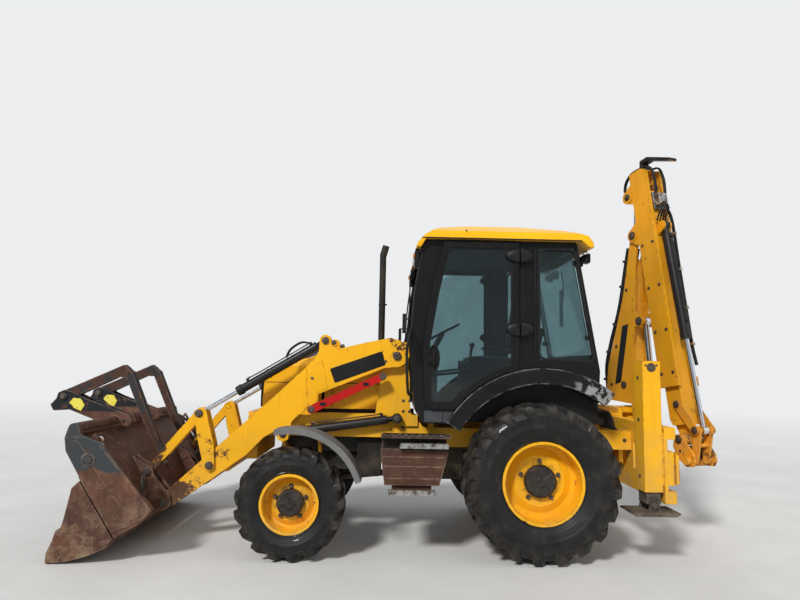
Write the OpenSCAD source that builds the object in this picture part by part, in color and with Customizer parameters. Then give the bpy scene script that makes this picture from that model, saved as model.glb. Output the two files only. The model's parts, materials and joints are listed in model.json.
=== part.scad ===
// Backhoe loader, parked: bucket down on its toe, legs up, backhoe side-shifted, slewed and folded.
// X runs from the loader to the backhoe, Y to the machine's right, Z up. Millimetres.
// Places along X are measured from the rear axle.

/* [Wheels] */
// Distance between the axles
wheelbase = 2170; // [2120:5:2200]
// Rear tyre diameter over the lugs
rear_tyre_d = 1360; // [1330:5:1400]
// Rear tyre width
rear_tyre_w = 450; // [430:5:460]
// Rear rim flange diameter
rear_rim_d = 711; // [690:1:730]
// Distance of the rear tyres' middle planes from the centre
rear_track_half = 895; // [885:1:905]
// Front tyre diameter over the lugs
front_tyre_d = 950; // [930:5:970]
// Front tyre width
front_tyre_w = 320; // [300:5:330]
// Front rim flange diameter
front_rim_d = 507; // [495:1:520]
// Distance of the front tyres' middle planes from the centre
front_track_half = 930; // [925:1:940]
// Height of a lug
lug_h = 36; // [25:1:40]
// Lugs on each side of a rear tyre
rear_lugs = 20; // [16:1:22]
// Lugs on each side of a front tyre
front_lugs = 17; // [14:1:19]

/* [Frame] */
// Outer face of each chassis rail from the centre
rail_out = 450; // [440:1:455]
// Thickness of a chassis rail
rail_t = 80; // [60:1:90]
// Half width of the rear frame over its legs
rear_frame_half = 1140; // [1120:1:1170]
// Distance of the leg housings behind the rear axle
leg_x = 917; // [905:1:925]
// Size of a leg housing along the machine
leg_w = 156; // [150:1:160]
// Size of a leg housing across the machine
leg_d = 190; // [180:1:195]
// Wall of a leg housing
leg_wall = 14; // [10:1:18]
// Height of the leg housings' top
leg_top_z = 1746; // [1700:1:1780]

/* [Cab] */
// Half width of the cab's side walls
cab_half = 780; // [770:1:785]
// Thickness of the cab's walls and posts
cab_wall = 50; // [40:1:60]
// Thickness of a door
door_t = 40; // [34:1:44]
// Thickness of the glass
glass_t = 8; // [6:1:10]
// Height of the roof's top
roof_z = 3020; // [2990:1:3040]
// Half width of the roof
roof_half = 850; // [830:1:870]

/* [Loader] */
// Middle plane of each loader arm from the centre
arm_y = 520; // [515:1:525]
// Thickness of a loader arm
arm_t = 80; // [76:1:84]
// Half width of the bucket
bucket_half = 1170; // [1150:1:1185]
// Thickness of the bucket's side plates
bucket_t = 25; // [20:1:30]
// Radius of the ram barrels of the loader
loader_ram_r = 42; // [38:1:45]

/* [Backhoe] */
// How far the carriage is shifted to the right
shift_park = 500; // [480:1:510]
// How far the boom is slewed to the left from straight back
slew_park = 70; // [60:1:80]
// Distance of the slew axis behind the rear axle
slew_x = 1360; // [1350:1:1370]
// Half width of the boom at its base
boom_half = 98; // [92:1:100]
// Lean of the folded dipper from upright
dipper_lean = 9.3; // [8:0.1:10.5]

/* [Hidden] */

// Place of the rear axle in the shared frame, which starts under the middle of the machine
rear_axle_x = 1349;
front_x = -wheelbase;
rear_r = rear_tyre_d / 2;
front_r = front_tyre_d / 2;
pin_gap = 0.5;
side_gap = 4;

// Wheel discs lie this far inside the rims' outer faces, and hubs this far inside the discs
front_dish = 95;
rear_dish = 150;
hub_in = 60;
seat_gap = 0.3;

// The end of the axle that meets a hub, as a distance from the centre
function hub_face(track, w, dish) = track + 0.37 * w - dish - hub_in - seat_gap;

// Loader pins in the parked place, [X, Z]
arm_pivot = [-1270, 1756];
lift_base = [-1259, 1168];
lift_eye = [-2330, 1010];
tilt_base = [-1956, 1890];
lever_pivot = [-2992, 713];
lever_top = [-3110, 1187];
bucket_link = [-3560, 650];
bucket_pin = [-3395, 376];
clam_pivot = [-3827, 836];
clam_base = [-3430, 430];
clam_eye = [-3800, 985];
fork_pin = [-4466, 1312];
knee_pin = [-2062, 1243];

// Faces of the loader's stacked plates, distances from the centre
arm_in = arm_y - arm_t / 2;
arm_out = arm_y + arm_t / 2;
lever_t = 22;
lever_in = arm_in - side_gap;
lever_out = arm_out + side_gap;
eye_half = 18;
slot_half = 24;

// Backhoe pins in the boom's own plane, [distance out from the slew axis, Z]
boom_foot = [250, 980];
boom_tip = [265, 3150];
boom_ram_base = [450, 640];
boom_ram_eye = [300, 2200];
dipper_ram_base = [50, 1500];

// Dipper pins along the dipper, [down from its pivot, outwards]
dip_lever = [-454, 14];
dip_top = -700;
dip_end = 1700;
dip_in = 78;
dip_out = 311;
inner_top = -430;
inner_end = 2080;
inner_in = 108;
inner_out = 288;
nose_pin = [2220, 235];
ram_top = [0, 353];
ram_eye = [2145, 412];
tip_pivot = [1880, 240];
hitch_link = [2427, 325];

steel_yellow = "#f2a900";
steel_black = "#202224";
rust = "#6b4636";
rubber = "#2a2a2a";
chrome = "#c9ccd0";
glass_tint = "#33474f";

// Helpers

// The machine's own place in the shared frame
module machine() {
    translate([rear_axle_x, 0, 0]) children();
}

// A copy on each side
module both() {
    children();
    mirror([0, 1, 0]) children();
}

// A plate in the X-Z plane from y0 to y1
module slab(pts, y0, y1) {
    translate([0, y1, 0]) rotate([90, 0, 0]) linear_extrude(y1 - y0) polygon(pts);
}

// A round bar along Y
module pin(p, r, y0, y1) {
    translate([p[0], y1, p[1]]) rotate([90, 0, 0]) cylinder(r = r, h = y1 - y0, $fn = 48);
}

// A round bar from p to q in the X-Z plane at the place y
module rod(p, q, r, y = 0, from = 0, to = undef) {
    d = q - p;
    long = is_undef(to) ? norm(d) : to;
    translate([p[0], y, p[1]]) rotate([0, 90 - atan2(d[1], d[0]), 0])
        translate([0, 0, from]) cylinder(r = r, h = long - from, $fn = 40);
}

// A flat bar with round ends from p to q
module bar(p, q, rp, rq, y0, y1) {
    d = q - p;
    e = d / norm(d);
    n = [-e[1], e[0]];
    slab([p + n * rp, p - n * rp, q - n * rq, q + n * rq], y0, y1);
    pin(p, rp, y0, y1);
    pin(q, rq, y0, y1);
}

// Points along an arc
function arc(c, r, a0, a1, n) =
    [for (i = [0:n]) c + r * [cos(a0 + (a1 - a0) * i / n), sin(a0 + (a1 - a0) * i / n)]];

function unit(v) = v / norm(v);

function left(v) = [-v[1], v[0]];

// A counter-clockwise outline moved inwards by d
function inset(p, d) = [for (i = [0:len(p) - 1])
    let (a = p[(i + len(p) - 1) % len(p)], b = p[i], c = p[(i + 1) % len(p)],
        m = left(unit(b - a)), n = left(unit(c - b)))
    b + (m + n) * d / (1 + m * n)];

// Wheels

// One tyre with its middle plane at Y = 0, and lugs in two staggered rows
module tyre(r, w, rim_r, lugs) {
    tread = r - lug_h;
    wall = tread - rim_r;
    rotate([90, 0, 0]) rotate_extrude($fn = 48) polygon([
        [rim_r - 11.7, -0.36 * w], [rim_r + 2, -0.36 * w],
        [rim_r + 0.3 * wall, -0.47 * w], [rim_r + 0.6 * wall, -0.49 * w],
        [tread - 0.18 * wall, -0.44 * w], [tread, -0.3 * w], [tread + 6, 0], [tread, 0.3 * w],
        [tread - 0.18 * wall, 0.44 * w], [rim_r + 0.6 * wall, 0.49 * w],
        [rim_r + 0.3 * wall, 0.47 * w], [rim_r + 2, 0.36 * w], [rim_r - 11.7, 0.36 * w]]);
    for (side = [-1, 1], i = [0:lugs - 1])
        rotate([0, (i + (side + 1) / 4) * 360 / lugs, 0])
            lug(r, w, side);
}

// One lug: a slanted bar from the middle of the tread to its shoulder
module lug(r, w, side) {
    lean = 0.19 * w;
    bar_t = 0.042 * r + 8;
    top = sqrt(r * r - pow(lean + bar_t, 2));
    root = r - lug_h - 0.11 * r;
    translate([0, 0, root]) linear_extrude(top - root) polygon([
        [-lean - bar_t, side * 0.02 * w], [-lean + bar_t, side * 0.02 * w],
        [lean + bar_t, side * 0.5 * w], [lean - bar_t, side * 0.5 * w]]);
}

// One rim, dished in from its outer face at +Y, with its hub
module rim(r, w, hub_r, dish) {
    t = 10;
    out = 0.37 * w;
    disc = out - dish;
    rotate([-90, 0, 0]) rotate_extrude($fn = 48) polygon([
        [r - 24, -out - t], [r, -out - t], [r, -out], [r - 12, -out], [r - 12, out], [r, out],
        [r, out + t], [r - 24, out + t]]);
    rotate([-90, 0, 0]) rotate_extrude($fn = 48) polygon([
        [0, disc - hub_in], [hub_r, disc - hub_in], [hub_r, disc - t], [0.62 * r, disc - t],
        [0.8 * r, disc - 40], [r - 23, disc - 40], [r - 23, disc - 30], [0.8 * r - 4, disc - 30],
        [0.62 * r, disc], [hub_r, disc], [hub_r, disc + 45], [hub_r - 14, disc + 58],
        [0, disc + 58]]);
}

module front_tyre() {
    tyre(front_r, front_tyre_w, front_rim_d / 2, front_lugs);
}

module rear_tyre() {
    tyre(rear_r, rear_tyre_w, rear_rim_d / 2, rear_lugs);
}

module tyre_fl() {
    color(rubber) machine() translate([front_x, -front_track_half, front_r]) front_tyre();
}

module tyre_fr() {
    color(rubber) machine() translate([front_x, front_track_half, front_r]) front_tyre();
}

module tyre_rl() {
    color(rubber) machine() translate([0, -rear_track_half, rear_r]) rear_tyre();
}

module tyre_rr() {
    color(rubber) machine() translate([0, rear_track_half, rear_r]) rear_tyre();
}

module rim_fl() {
    color(steel_yellow) machine() translate([front_x, -front_track_half, front_r])
        mirror([0, 1, 0]) rim(front_rim_d / 2, front_tyre_w, 115, front_dish);
}

module rim_fr() {
    color(steel_yellow) machine() translate([front_x, front_track_half, front_r])
        rim(front_rim_d / 2, front_tyre_w, 115, front_dish);
}

module rim_rl() {
    color(steel_yellow) machine() translate([0, -rear_track_half, rear_r])
        mirror([0, 1, 0]) rim(rear_rim_d / 2, rear_tyre_w, 140, rear_dish);
}

module rim_rr() {
    color(steel_yellow) machine() translate([0, rear_track_half, rear_r])
        rim(rear_rim_d / 2, rear_tyre_w, 140, rear_dish);
}

// Frame

rail_bottom = 980;
rail_top = 1200;
rear_rail_top = 1080;
rail_in = rail_out - rail_t;
nose_x = -2640;
frame_rear_x = 1010;
tower_t = 40;
tower_out = arm_in - side_gap;
king_y = 700;

hood_pin = [-2560, 1222];
saddle_x = 155;
axle_pin_z = 610;

module main_frame() {
    color(steel_yellow) machine() {
        both() slab([[nose_x, rail_bottom], [-1300, rail_bottom], [-1000, 900],
            [frame_rear_x, 900], [frame_rear_x, rear_rail_top], [-1000, rear_rail_top],
            [-1100, rail_top], [nose_x, rail_top]], rail_in, rail_out);
        nose_frame();
        both() tower();
        translate([-1320, -rail_in - 1, 1010]) cube([40, 2 * rail_in + 2, 160]);
        translate([-260, -rail_in - 1, 910]) cube([60, 2 * rail_in + 2, 150]);
        for (x = [-saddle_x - 30, saddle_x]) translate([front_x + x, 0, 0]) saddle();
        translate([front_x - saddle_x - 1, 0, axle_pin_z]) rotate([0, 90, 0])
            cylinder(r = 30, h = 2 * saddle_x + 2, $fn = 40);
        // Feet for the engine, the cab and the closed hood
        both() for (x = [-2300, -1500]) translate([x, 270 + seat_gap, 1000])
            cube([60, rail_in - 269, 30]);
        both() for (x = [-960, -60]) translate([x, rail_in, rear_rail_top - 1])
            cube([60, rail_t, pan_z - rear_rail_top + 1 - seat_gap]);
        both() translate([-1260, 310, 1190]) cube([60, rail_in - 309, 45 - seat_gap]);
        both() translate([-650, rail_in - 60, 905]) cube([60, 61, 40]);
    }
}

// One plate of the saddle that hangs under the rails and holds the front axle's pin
module saddle() {
    rotate([90, 0, 90]) linear_extrude(30) polygon([[-400, 985], [-400, 900], [-150, 555],
        [150, 555], [400, 900], [400, 985], [335, 985], [285, 812], [-285, 812], [-335, 985]]);
}

// The cast nose between the rails, with the tow pin's bore
module nose_frame() {
    difference() {
        union() {
            slab([[nose_x - 40, 760], [nose_x + 60, 760], [nose_x + 60, rail_top],
                [nose_x - 40, rail_top]], -rail_out, rail_out);
            translate([nose_x - 150, -90, 800]) cube([120, 180, 30]);
            translate([nose_x - 150, -90, 900]) cube([120, 180, 30]);
        }
        translate([nose_x - 100, 0, 790]) cylinder(r = 20, h = 150, $fn = 32);
    }
    // Stubs that the hood turns on
    both() {
        translate([hood_pin[0] - 18, 291, rail_top - 20]) cube([40, 12, 54]);
        translate([hood_pin[0] - 18, 291, rail_top - 20]) cube([40, rail_in - 290, 18]);
        pin(hood_pin, 12, 250, 292);
    }
}

// One loader tower with the stubs for the arm and the lift ram
module tower() {
    slab([[-1480, 1100], [-1430, 1500], [-1370, 1790], [-1320, 1840], [-1220, 1840],
        [-1170, 1790], [-1138, 1500], [-1132, 1240], [-1080, 1100]],
        tower_out - tower_t, tower_out);
    translate([-1500, rail_out - 1, 1090]) cube([440, tower_out - rail_out + 1, 105]);
    pin(arm_pivot, 32, tower_out - 1, arm_out + 14);
    pin(lift_base, 24, tower_out - 1, arm_out + 8);
}

hood_half = 340;

module hood() {
    top = [[-1150, 1235], [-1150, 1900], [-1400, 1895], [-1800, 1830], [-2200, 1710],
        [-2480, 1590], [-2560, 1520], [-2580, 1235]];
    half = hood_half;
    color(steel_yellow) machine() difference() {
        intersection() {
            slab(top, -half, half);
            translate([-2700, 0, 0]) rotate([90, 0, 90]) linear_extrude(1600)
                polygon([[-half, 1200], [half, 1200], [half, 1640], [half - 60, 1840],
                    [half - 130, 1960], [130 - half, 1960], [60 - half, 1840], [-half, 1640]]);
        }
        intersection() {
            slab([[-1120, 1200], [-1120, 1880], [-1400, 1875], [-1790, 1811], [-2190, 1692],
                [-2470, 1572], [-2600, 1480], [-2600, 1200]], 20 - half, half - 20);
            translate([-2700, 0, 0]) rotate([90, 0, 90]) linear_extrude(1600)
                polygon([[20 - half, 1100], [half - 20, 1100], [half - 20, 1630],
                    [half - 80, 1825], [half - 150, 1940], [150 - half, 1940],
                    [80 - half, 1825], [20 - half, 1630]]);
        }
        // Louvres in the sides
        for (i = [0:5]) translate([-2300 + i * 60, -half - 1, 1290])
            cube([28, 2 * half + 2, 150]);
    }
    color(steel_yellow) machine() both() difference() {
        union() {
            pin(hood_pin, 24, 252, 290);
            slab([hood_pin + [-10, 0], hood_pin + [24, 0], [-2530, 1330], [-2572, 1330]], 252, 290);
            slab([[-2572, 1290], [-2530, 1290], [-2530, 1330], [-2572, 1330]], 252, half - 10);
        }
        pin(hood_pin, 12 + pin_gap, 240, 300);
    }
}

module grille() {
    frame_h = 250;
    color(steel_black) machine() {
        difference() {
            translate([-2594, -330, 1240]) cube([14 - seat_gap, 660, frame_h]);
            translate([-2595, -305, 1270]) cube([16, 610, frame_h - 60]);
        }
        for (i = [0:6]) translate([-2594, -310, 1283 + i * 26]) cube([10, 620, 9]);
        both() translate([-2592, 120, 1262]) cube([8, 16, frame_h - 44]);
        both() translate([-2594, 235, 1375]) rotate([0, 90, 0]) cylinder(r = 55, h = 13, $fn = 32);
    }
}

module engine_block() {
    color("dimgray") machine() translate([-2380, -270, 820]) cube([1000, 540, 640]);
}

// Front axle, rear axle, gearbox and the shafts between them
module driveline() {
    boss = saddle_x - seat_gap;
    color(steel_black) machine() {
        difference() {
            union() {
                translate([front_x - 70, -king_y + 78, front_r - 60])
                    cube([140, 2 * king_y - 156, 120]);
                translate([front_x, 0, front_r]) sphere(r = 130, $fn = 32);
                translate([front_x - boss, 0, axle_pin_z]) rotate([0, 90, 0])
                    cylinder(r = 50, h = 2 * boss, $fn = 40);
                translate([front_x - 60, -110, front_r]) cube([120, 220, axle_pin_z - front_r]);
            }
            translate([front_x - 200, 0, axle_pin_z]) rotate([0, 90, 0])
                cylinder(r = 30 + pin_gap, h = 400, $fn = 40);
        }
        both() knuckle_yoke();
        translate([-90, -640, rear_r - 95]) cube([180, 1280, 190]);
        translate([0, 0, rear_r]) sphere(r = 190, $fn = 40);
        both() pin([0, rear_r], 120, 600, hub_face(rear_track_half, rear_tyre_w, rear_dish));
        both() translate([-70, rail_in, rear_r + 90]) cube([140, rail_t, 220 - rear_r + 590 - seat_gap]);
        translate([-1330, -230, 560]) cube([780, 460, 340]);
        both() translate([-650, 200, 870]) cube([60, rail_in - 260 + 60, 35 - seat_gap]);
        translate([-2050, 0, 505]) rotate([0, 84, 0]) cylinder(r = 32, h = 740, $fn = 24);
        translate([-560, 0, 680]) rotate([0, 90, 0]) cylinder(r = 45, h = 380, $fn = 24);
    }
}

// The forked end of the front axle, above and below the knuckle's boss
module knuckle_yoke() {
    translate([front_x - 60, king_y - 90, front_r - 60]) cube([120, 22, 120]);
    for (z = [-118, 86]) {
        translate([front_x, king_y, front_r + z]) cylinder(r = 50, h = 32, $fn = 40);
        translate([front_x - 50, king_y - 90, front_r + z]) cube([100, 90, 32]);
    }
    for (z = [-118, 58]) translate([front_x - 50, king_y - 90, front_r + z]) cube([100, 22, 60]);
}

guard_r = 628;
guard_t = 10;

guard_in = king_y + 100;

// One front knuckle with its hub, its steering arm and the mudguard it carries
module knuckle() {
    stalk = guard_r - 18;
    half = 86 - seat_gap;
    translate([front_x, king_y, front_r - half]) cylinder(r = 48, h = 2 * half, $fn = 40);
    pin([front_x, front_r], 60, king_y, hub_face(front_track_half, front_tyre_w, front_dish));
    translate([front_x + 30, king_y - 5, front_r - 30]) cube([150, 30, 40]);
    // Bracket from the knuckle up to the mudguard
    translate([front_x, 0, front_r]) {
        slab([[40, -20], [75, -20], [stalk * cos(38), stalk * sin(38)],
            [stalk * cos(44), stalk * sin(44)], [20, 40]], king_y + 22, king_y + 34);
        pin(stalk * [cos(41), sin(41)], 22, king_y + 22, front_track_half + 60);
        mudguard();
    }
}

// The curved plate over the tyre, around the wheel's axis
module mudguard() {
    from = 18;
    to = 104;
    slab(concat(arc([0, 0], guard_r, from, to, 14), arc([0, 0], guard_r + guard_t, to, from, 14)),
        guard_in, front_track_half + 140);
    slab(concat(arc([0, 0], guard_r - 40, from, to, 14),
        arc([0, 0], guard_r + 1, to, from, 14)),
        front_track_half + 132, front_track_half + 141);
}

module knuckle_l() {
    color("gray") machine() mirror([0, 1, 0]) knuckle();
}

module knuckle_r() {
    color("gray") machine() knuckle();
}

// Cab

// The wheel arch is drawn about its own centre, a little behind the axle
arch = [73, 627];
arch_r = 896;
fender_r = 1038;
fender_half = cab_half + 70;

// Side outline, counter-clockwise
cab_side = concat([[-1032, 1150]], arc(arch, arch_r - 6, 144, 55, 10),
    [[600, 1650], [397, 2850], [-1037, 2850], [-1115, 2400], [-1146, 1951], [-1138, 1600],
    [-1110, 1333], [-1060, 1210]]);
door_side = concat([[-966, 1285]], arc(arch, fender_r + 12, 141, 103, 6),
    [[-165, 2820], [-856, 2820], [-960, 2350], [-1040, 1866], [-1016, 1341]]);
glass_in = 38;
quarter_side = [[30, 1745], [560, 1715], [385, 2790], [30, 2790]];
door_in = cab_half + 6;
door_out = door_in + door_t;
hinge_x = -150;
hinge_zs = [1960, 2645];
hinge_y = cab_half + 26;

module cab_frame() {
    color(steel_black) machine() {
        difference() {
            slab(cab_side, -cab_half, cab_half);
            slab(inset(cab_side, cab_wall), cab_wall - cab_half, cab_half - cab_wall);
            slab(inset(door_side, 30), -cab_half - 1, cab_half + 1);
            slab(quarter_side, -cab_half - 1, cab_half + 1);
            // Windscreen, rear window and roof openings
            translate([-1300, 60 - cab_half, 1420]) cube([450, 2 * cab_half - 120, 1370]);
            translate([340, 70 - cab_half, 1800]) cube([340, 2 * cab_half - 140, 990]);
            translate([-960, 70 - cab_half, 2700]) cube([1280, 2 * cab_half - 140, 200]);
            translate([-860, 22 - pan_half, 1100]) cube([860, 2 * pan_half - 44, 640]);
        }
        floor_pan();
        both() hinges();
    }
}

pan_half = 600;
pan_z = 1150;
pan_t = 22;

// The sunken floor between the rear wheels
module floor_pan() {
    t = pan_t;
    translate([-900, -pan_half, pan_z]) cube([930, 2 * pan_half, t]);
    translate([8, -pan_half, pan_z]) cube([t, 2 * pan_half, 540]);
    both() slab([[-880, pan_z], [20, pan_z], [20, 1690], [-200, 1690], [-640, 1450],
        [-880, pan_z + 40]], pan_half - t, pan_half);
}

// The posts' halves of the door hinges
module hinges() {
    for (z = hinge_zs) {
        translate([hinge_x, hinge_y, z]) cylinder(r = 12, h = 60, $fn = 24);
        translate([hinge_x, cab_half - 1, z]) cube([110, 13, 60]);
        translate([hinge_x, hinge_y - 16, z]) cube([16, 16, 60]);
    }
}

// The door's half of a hinge, above the post's half
module door_leaf(z) {
    translate([hinge_x, hinge_y, z]) cylinder(r = 12, h = 44, $fn = 24);
    translate([hinge_x - 45, hinge_y - 8, z]) cube([45, 16, 44]);
}

module cab_roof() {
    seat_z = 2850 + seat_gap;
    side = [[-1106, 2800], [-1112, 2768], [-1070, 2768], [-1020, seat_z], [430, seat_z],
        [500, 2790], [540, 2790], [536, 2830], [500, 2905], [300, 2970], [-150, roof_z],
        [-600, roof_z], [-900, 2975], [-1040, 2880]];
    color(steel_yellow) machine() difference() {
        intersection() {
            slab(side, -roof_half, roof_half);
            translate([-1300, 0, 0]) rotate([90, 0, 90]) linear_extrude(2000)
                polygon([[-roof_half, 2700], [roof_half, 2700], [roof_half, 2850],
                    [roof_half - 40, 2930], [roof_half - 160, 2990], [roof_half - 300, 3050],
                    [300 - roof_half, 3050], [160 - roof_half, 2990], [40 - roof_half, 2930],
                    [-roof_half, 2850]]);
        }
        // The cab's top fits in here
        slab(inset(cab_side, -seat_gap), -cab_half - seat_gap, cab_half + seat_gap);
    }
}

module cab_glass() {
    g = 60 + seat_gap;
    h = 70 + seat_gap;
    color(glass_tint) machine() {
        // Windscreen just inside the front posts
        intersection() {
            difference() {
                slab(inset(cab_side, glass_in), g - cab_half, cab_half - g);
                slab(inset(cab_side, glass_in + glass_t), -cab_half, cab_half);
            }
            union() {
                translate([-1300, g - cab_half, 1420 + seat_gap])
                    cube([390, 2 * (cab_half - g), 1370 - 2 * seat_gap]);
                translate([340 + seat_gap, h - cab_half, 1800 + seat_gap])
                    cube([340, 2 * (cab_half - h), 990 - 2 * seat_gap]);
            }
        }
        both() slab(inset(quarter_side, seat_gap), cab_half - 30, cab_half - 30 + glass_t);
    }
}

module door() {
    difference() {
        slab(door_side, door_in, door_out);
        slab(inset(door_side, 52), door_in - 1, door_out + 1);
        slab(inset(door_side, 43.5), door_in + 14.5, door_in + 15.5 + glass_t);
    }
    for (z = hinge_zs) door_leaf(z + 60 + seat_gap);
    slab([[-1000, 1700], [-940, 1690], [-930, 1760], [-990, 1780]], door_out - 1, door_out + 18);
}

module door_l() {
    color(steel_black) machine() mirror([0, 1, 0]) door();
}

module door_r() {
    color(steel_black) machine() door();
}

module door_glass() {
    slab(inset(door_side, 44), door_in + 15, door_in + 15 + glass_t);
}

module door_glass_l() {
    color(glass_tint) machine() mirror([0, 1, 0]) door_glass();
}

module door_glass_r() {
    color(glass_tint) machine() door_glass();
}

module fenders() {
    color(steel_black) machine() both() {
        slab(concat(arc(arch, fender_r, 52, 149, 16), arc(arch, arch_r, 149, 52, 16)),
            fender_half - 12, fender_half);
        slab(concat(arc(arch, fender_r, 52, 149, 16), arc(arch, fender_r - 24, 149, 52, 16)),
            cab_half, fender_half - 11);
        slab(concat(arc(arch, arch_r + 16, 52, 149, 16), arc(arch, arch_r, 149, 52, 16)),
            cab_half, fender_half - 11);
    }
}

module tanks() {
    color("#3a2c24") machine() both() {
        slab([[-1365, 650], [-895, 650], [-820, 916], [-820, 948], [-1400, 948], [-1400, 916]],
            560, 1060);
        for (s = [[-1400, 805, 1070], [-1240, 820, 985], [-1330, 925, 600]])
            step_plate(s[0], -s[1], s[2]);
        for (x = [-1290, -960]) translate([x, rail_out, 900]) cube([60, 120, 80]);
        translate([-1390, 900, 940]) cube([560, 130, 131]);
        translate([-1300, 900, 560]) cube([340, 130, 100]);
    }
}

// One tread plate from x0 to x1 at the height z
module step_plate(x0, x1, z) {
    translate([x0, 980, z - 20]) cube([x1 - x0, 140, 20]);
    translate([x0 + 30, 960, z - 20]) cube([x1 - x0 - 60, 30, 20]);
    for (i = [0:floor((x1 - x0) / 60) - 1])
        translate([x0 + 20 + i * 60, 1104, z - 1]) cube([26, 15, 14]);
}

module seat() {
    color("#303236") machine() {
        translate([-560, -240, 1660]) cube([500, 480, 130]);
        slab([[-130, 1785], [-40, 1785], [40, 2330], [-50, 2330]], -230, 230);
        translate([-430, -150, pan_z + pan_t + seat_gap]) cube([300, 300, 489]);
    }
}

module console() {
    color("#2b2d30") machine() {
        translate([-985, -210, 1200 + seat_gap]) cube([130, 420, 560]);
        rod([-960, 1700], [-790, 2010], 28);
        translate([-785, 0, 2020]) rotate([0, -28, 0]) rotate_extrude($fn = 40)
            translate([185, 0]) circle(r = 13, $fn = 20);
        translate([-785, 0, 2012]) rotate([0, -28, 0]) cylinder(r = 40, h = 22, $fn = 24);
        for (a = [0:120:240]) translate([-785, 0, 2020]) rotate([0, -28, 0]) rotate([0, 0, a])
            translate([0, -10, -6]) cube([188, 20, 12]);
        translate([-560, 330, pan_z + pan_t + seat_gap]) cube([500, 230, 560]);
    }
}

module exhaust() {
    r = 36;
    color("#1c1c1c") machine() translate([-1436, 386, 0]) {
        translate([0, 0, rail_top]) cylinder(r = r, h = 2915 - rail_top, $fn = 32);
        translate([0, 0, 2895]) rotate([0, 16, 0]) cylinder(r = r + 3, h = 115, $fn = 32);
        translate([-r - 10, -r - 8, rail_top]) cube([2 * r + 20, 2 * r + 16, 20]);
    }
}

module lamps() {
    color("#d8d8d4") machine() both() {
        for (y = [420, 640]) {
            translate([-1085, y, 2768 - seat_gap]) lamp();
            translate([515, y, 2790 - seat_gap]) rotate([0, 0, 180]) lamp();
        }
    }
}

// A work lamp that hangs under the roof's edge and looks towards -X
module lamp() {
    translate([-35, -65, -115]) cube([60, 130, 90]);
    translate([-15, -10, -30]) cube([20, 20, 30]);
}

// From a mirror's arm back to the face of the front post
mirror_reach = 83;

module mirrors() {
    color(steel_black) machine() both() {
        translate([-1235, 1000, 1950]) cube([30, 110, 165]);
        translate([-1220, cab_half - 30, 2090]) cube([14, 290, 14]);
        translate([-1220, cab_half - 35, 2090]) cube([mirror_reach, 14, 14]);
    }
}

// Loader

arm_side = concat([[-3450, 345], [-3395, 312], [-3312, 340], [-2662, 808], [-2502, 976],
    [-2400, 1030], [-2375, 955], [-2330, 935], [-2280, 955], [-2250, 1120], [-2192, 1194],
    [-2100, 1186], [-2045, 1195], [-2010, 1243], [-2005, 1384], [-1383, 1640], [-1250, 1650],
    [-1180, 1690], [-1150, 1756], [-1170, 1860], [-1248, 1906], [-1332, 1928], [-1541, 1884],
    [-1835, 1811], [-1895, 1840]], arc(tilt_base, 56, -10, 190, 10),
    [[-2015, 1790], [-2050, 1720], [-2123, 1640], [-2460, 1319], [-3383, 470], [-3450, 425]]);

module loader_arms() {
    color(steel_yellow) machine() {
        both() difference() {
            slab(arm_side, arm_in, arm_out);
            pin(arm_pivot, 32 + pin_gap, arm_in - 1, arm_out + 1);
            pin(bucket_pin, 30 + pin_gap, arm_in - 1, arm_out + 1);
            pin(lever_pivot, 26 + pin_gap, arm_in - 1, arm_out + 1);
            // Slots for the rams' eyes, with room for a rod that leaves its pin a little
            pin(tilt_base, 92, arm_y - slot_half, arm_y + slot_half);
            bar(lift_eye, lift_eye + [-49, 57], 82, 64, arm_y - slot_half, arm_y + slot_half);
            bar(lift_eye + [-49, 57], lift_eye + [130, 116], 64, 42, arm_y - slot_half, arm_y + slot_half);
        }
        both() pin(tilt_base, 22, arm_in - 8, arm_out + 12);
        both() for (y = [arm_in - 6, arm_out - 1]) pin(lift_eye, 34, y, y + 7);
        pin([-2860, 700], 57, -arm_in - 2, arm_in + 2);
        for (x = [-2860]) both() slab([[x - 35, 650], [x + 60, 730], [x + 90, 830], [x - 25, 800]],
            arm_in - 14, arm_in + 1);
    }
}

// The red strut pinned to the left arm
module safety_strut() {
    a = [-1400, 1560];
    y0 = arm_out + 1;
    color("#b3241c") machine() mirror([0, 1, 0]) {
        bar(knee_pin, a, 38, 34, y0, y0 + 14);
        bar(knee_pin, a, 38, 34, y0 + 46, y0 + 60);
        rod(knee_pin, a, 17, y0 + 30, 90, 640);
        pin(knee_pin, 16, arm_out, y0 + 66);
    }
}

// A ram barrel that starts at p and points to q, with its eye at p and a bore for the rod
module barrel(p, q, r, rod_r, long, y, eye_t, pin_r) {
    start = 96;
    difference() {
        union() {
            rod(p, q, r, y, start, long);
            rod(p, q, r * 0.62, y, 20, start + 1);
            rod(p, q, r + 5, y, long - 46, long);
            pin(p, pin_r + 22, y - eye_t, y + eye_t);
        }
        rod(p, q, rod_r + 0.5, y, start + 30, long + 1);
        pin(p, pin_r + pin_gap, y - r, y + r);
        for (s = [-1, 1]) translate([p[0], y + s * (eye_t + r), p[1]])
            cube([4 * r, 2 * r, 4 * r], center = true);
    }
}

// A ram rod inside the barrel from p to q, with a plain eye at q
module ram_rod(p, q, r, from, y, eye_t, eye_r) {
    rod(p, q, r, y, from, norm(q - p) - 10);
    pin(q, eye_r, y - eye_t, y + eye_t);
}

module lift_barrels() {
    color(steel_black) machine() both()
        barrel(lift_base, lift_eye, loader_ram_r, 22, 930, arm_y, 30, 24);
}

module lift_rods() {
    color(chrome) machine() both()
        ram_rod(lift_base, lift_eye, 22, 140, arm_y, eye_half, 44);
}

module tilt_barrels() {
    color(steel_black) machine() both()
        barrel(tilt_base, lever_top, loader_ram_r, 22, 960, arm_y, eye_half, 22);
}

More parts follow.
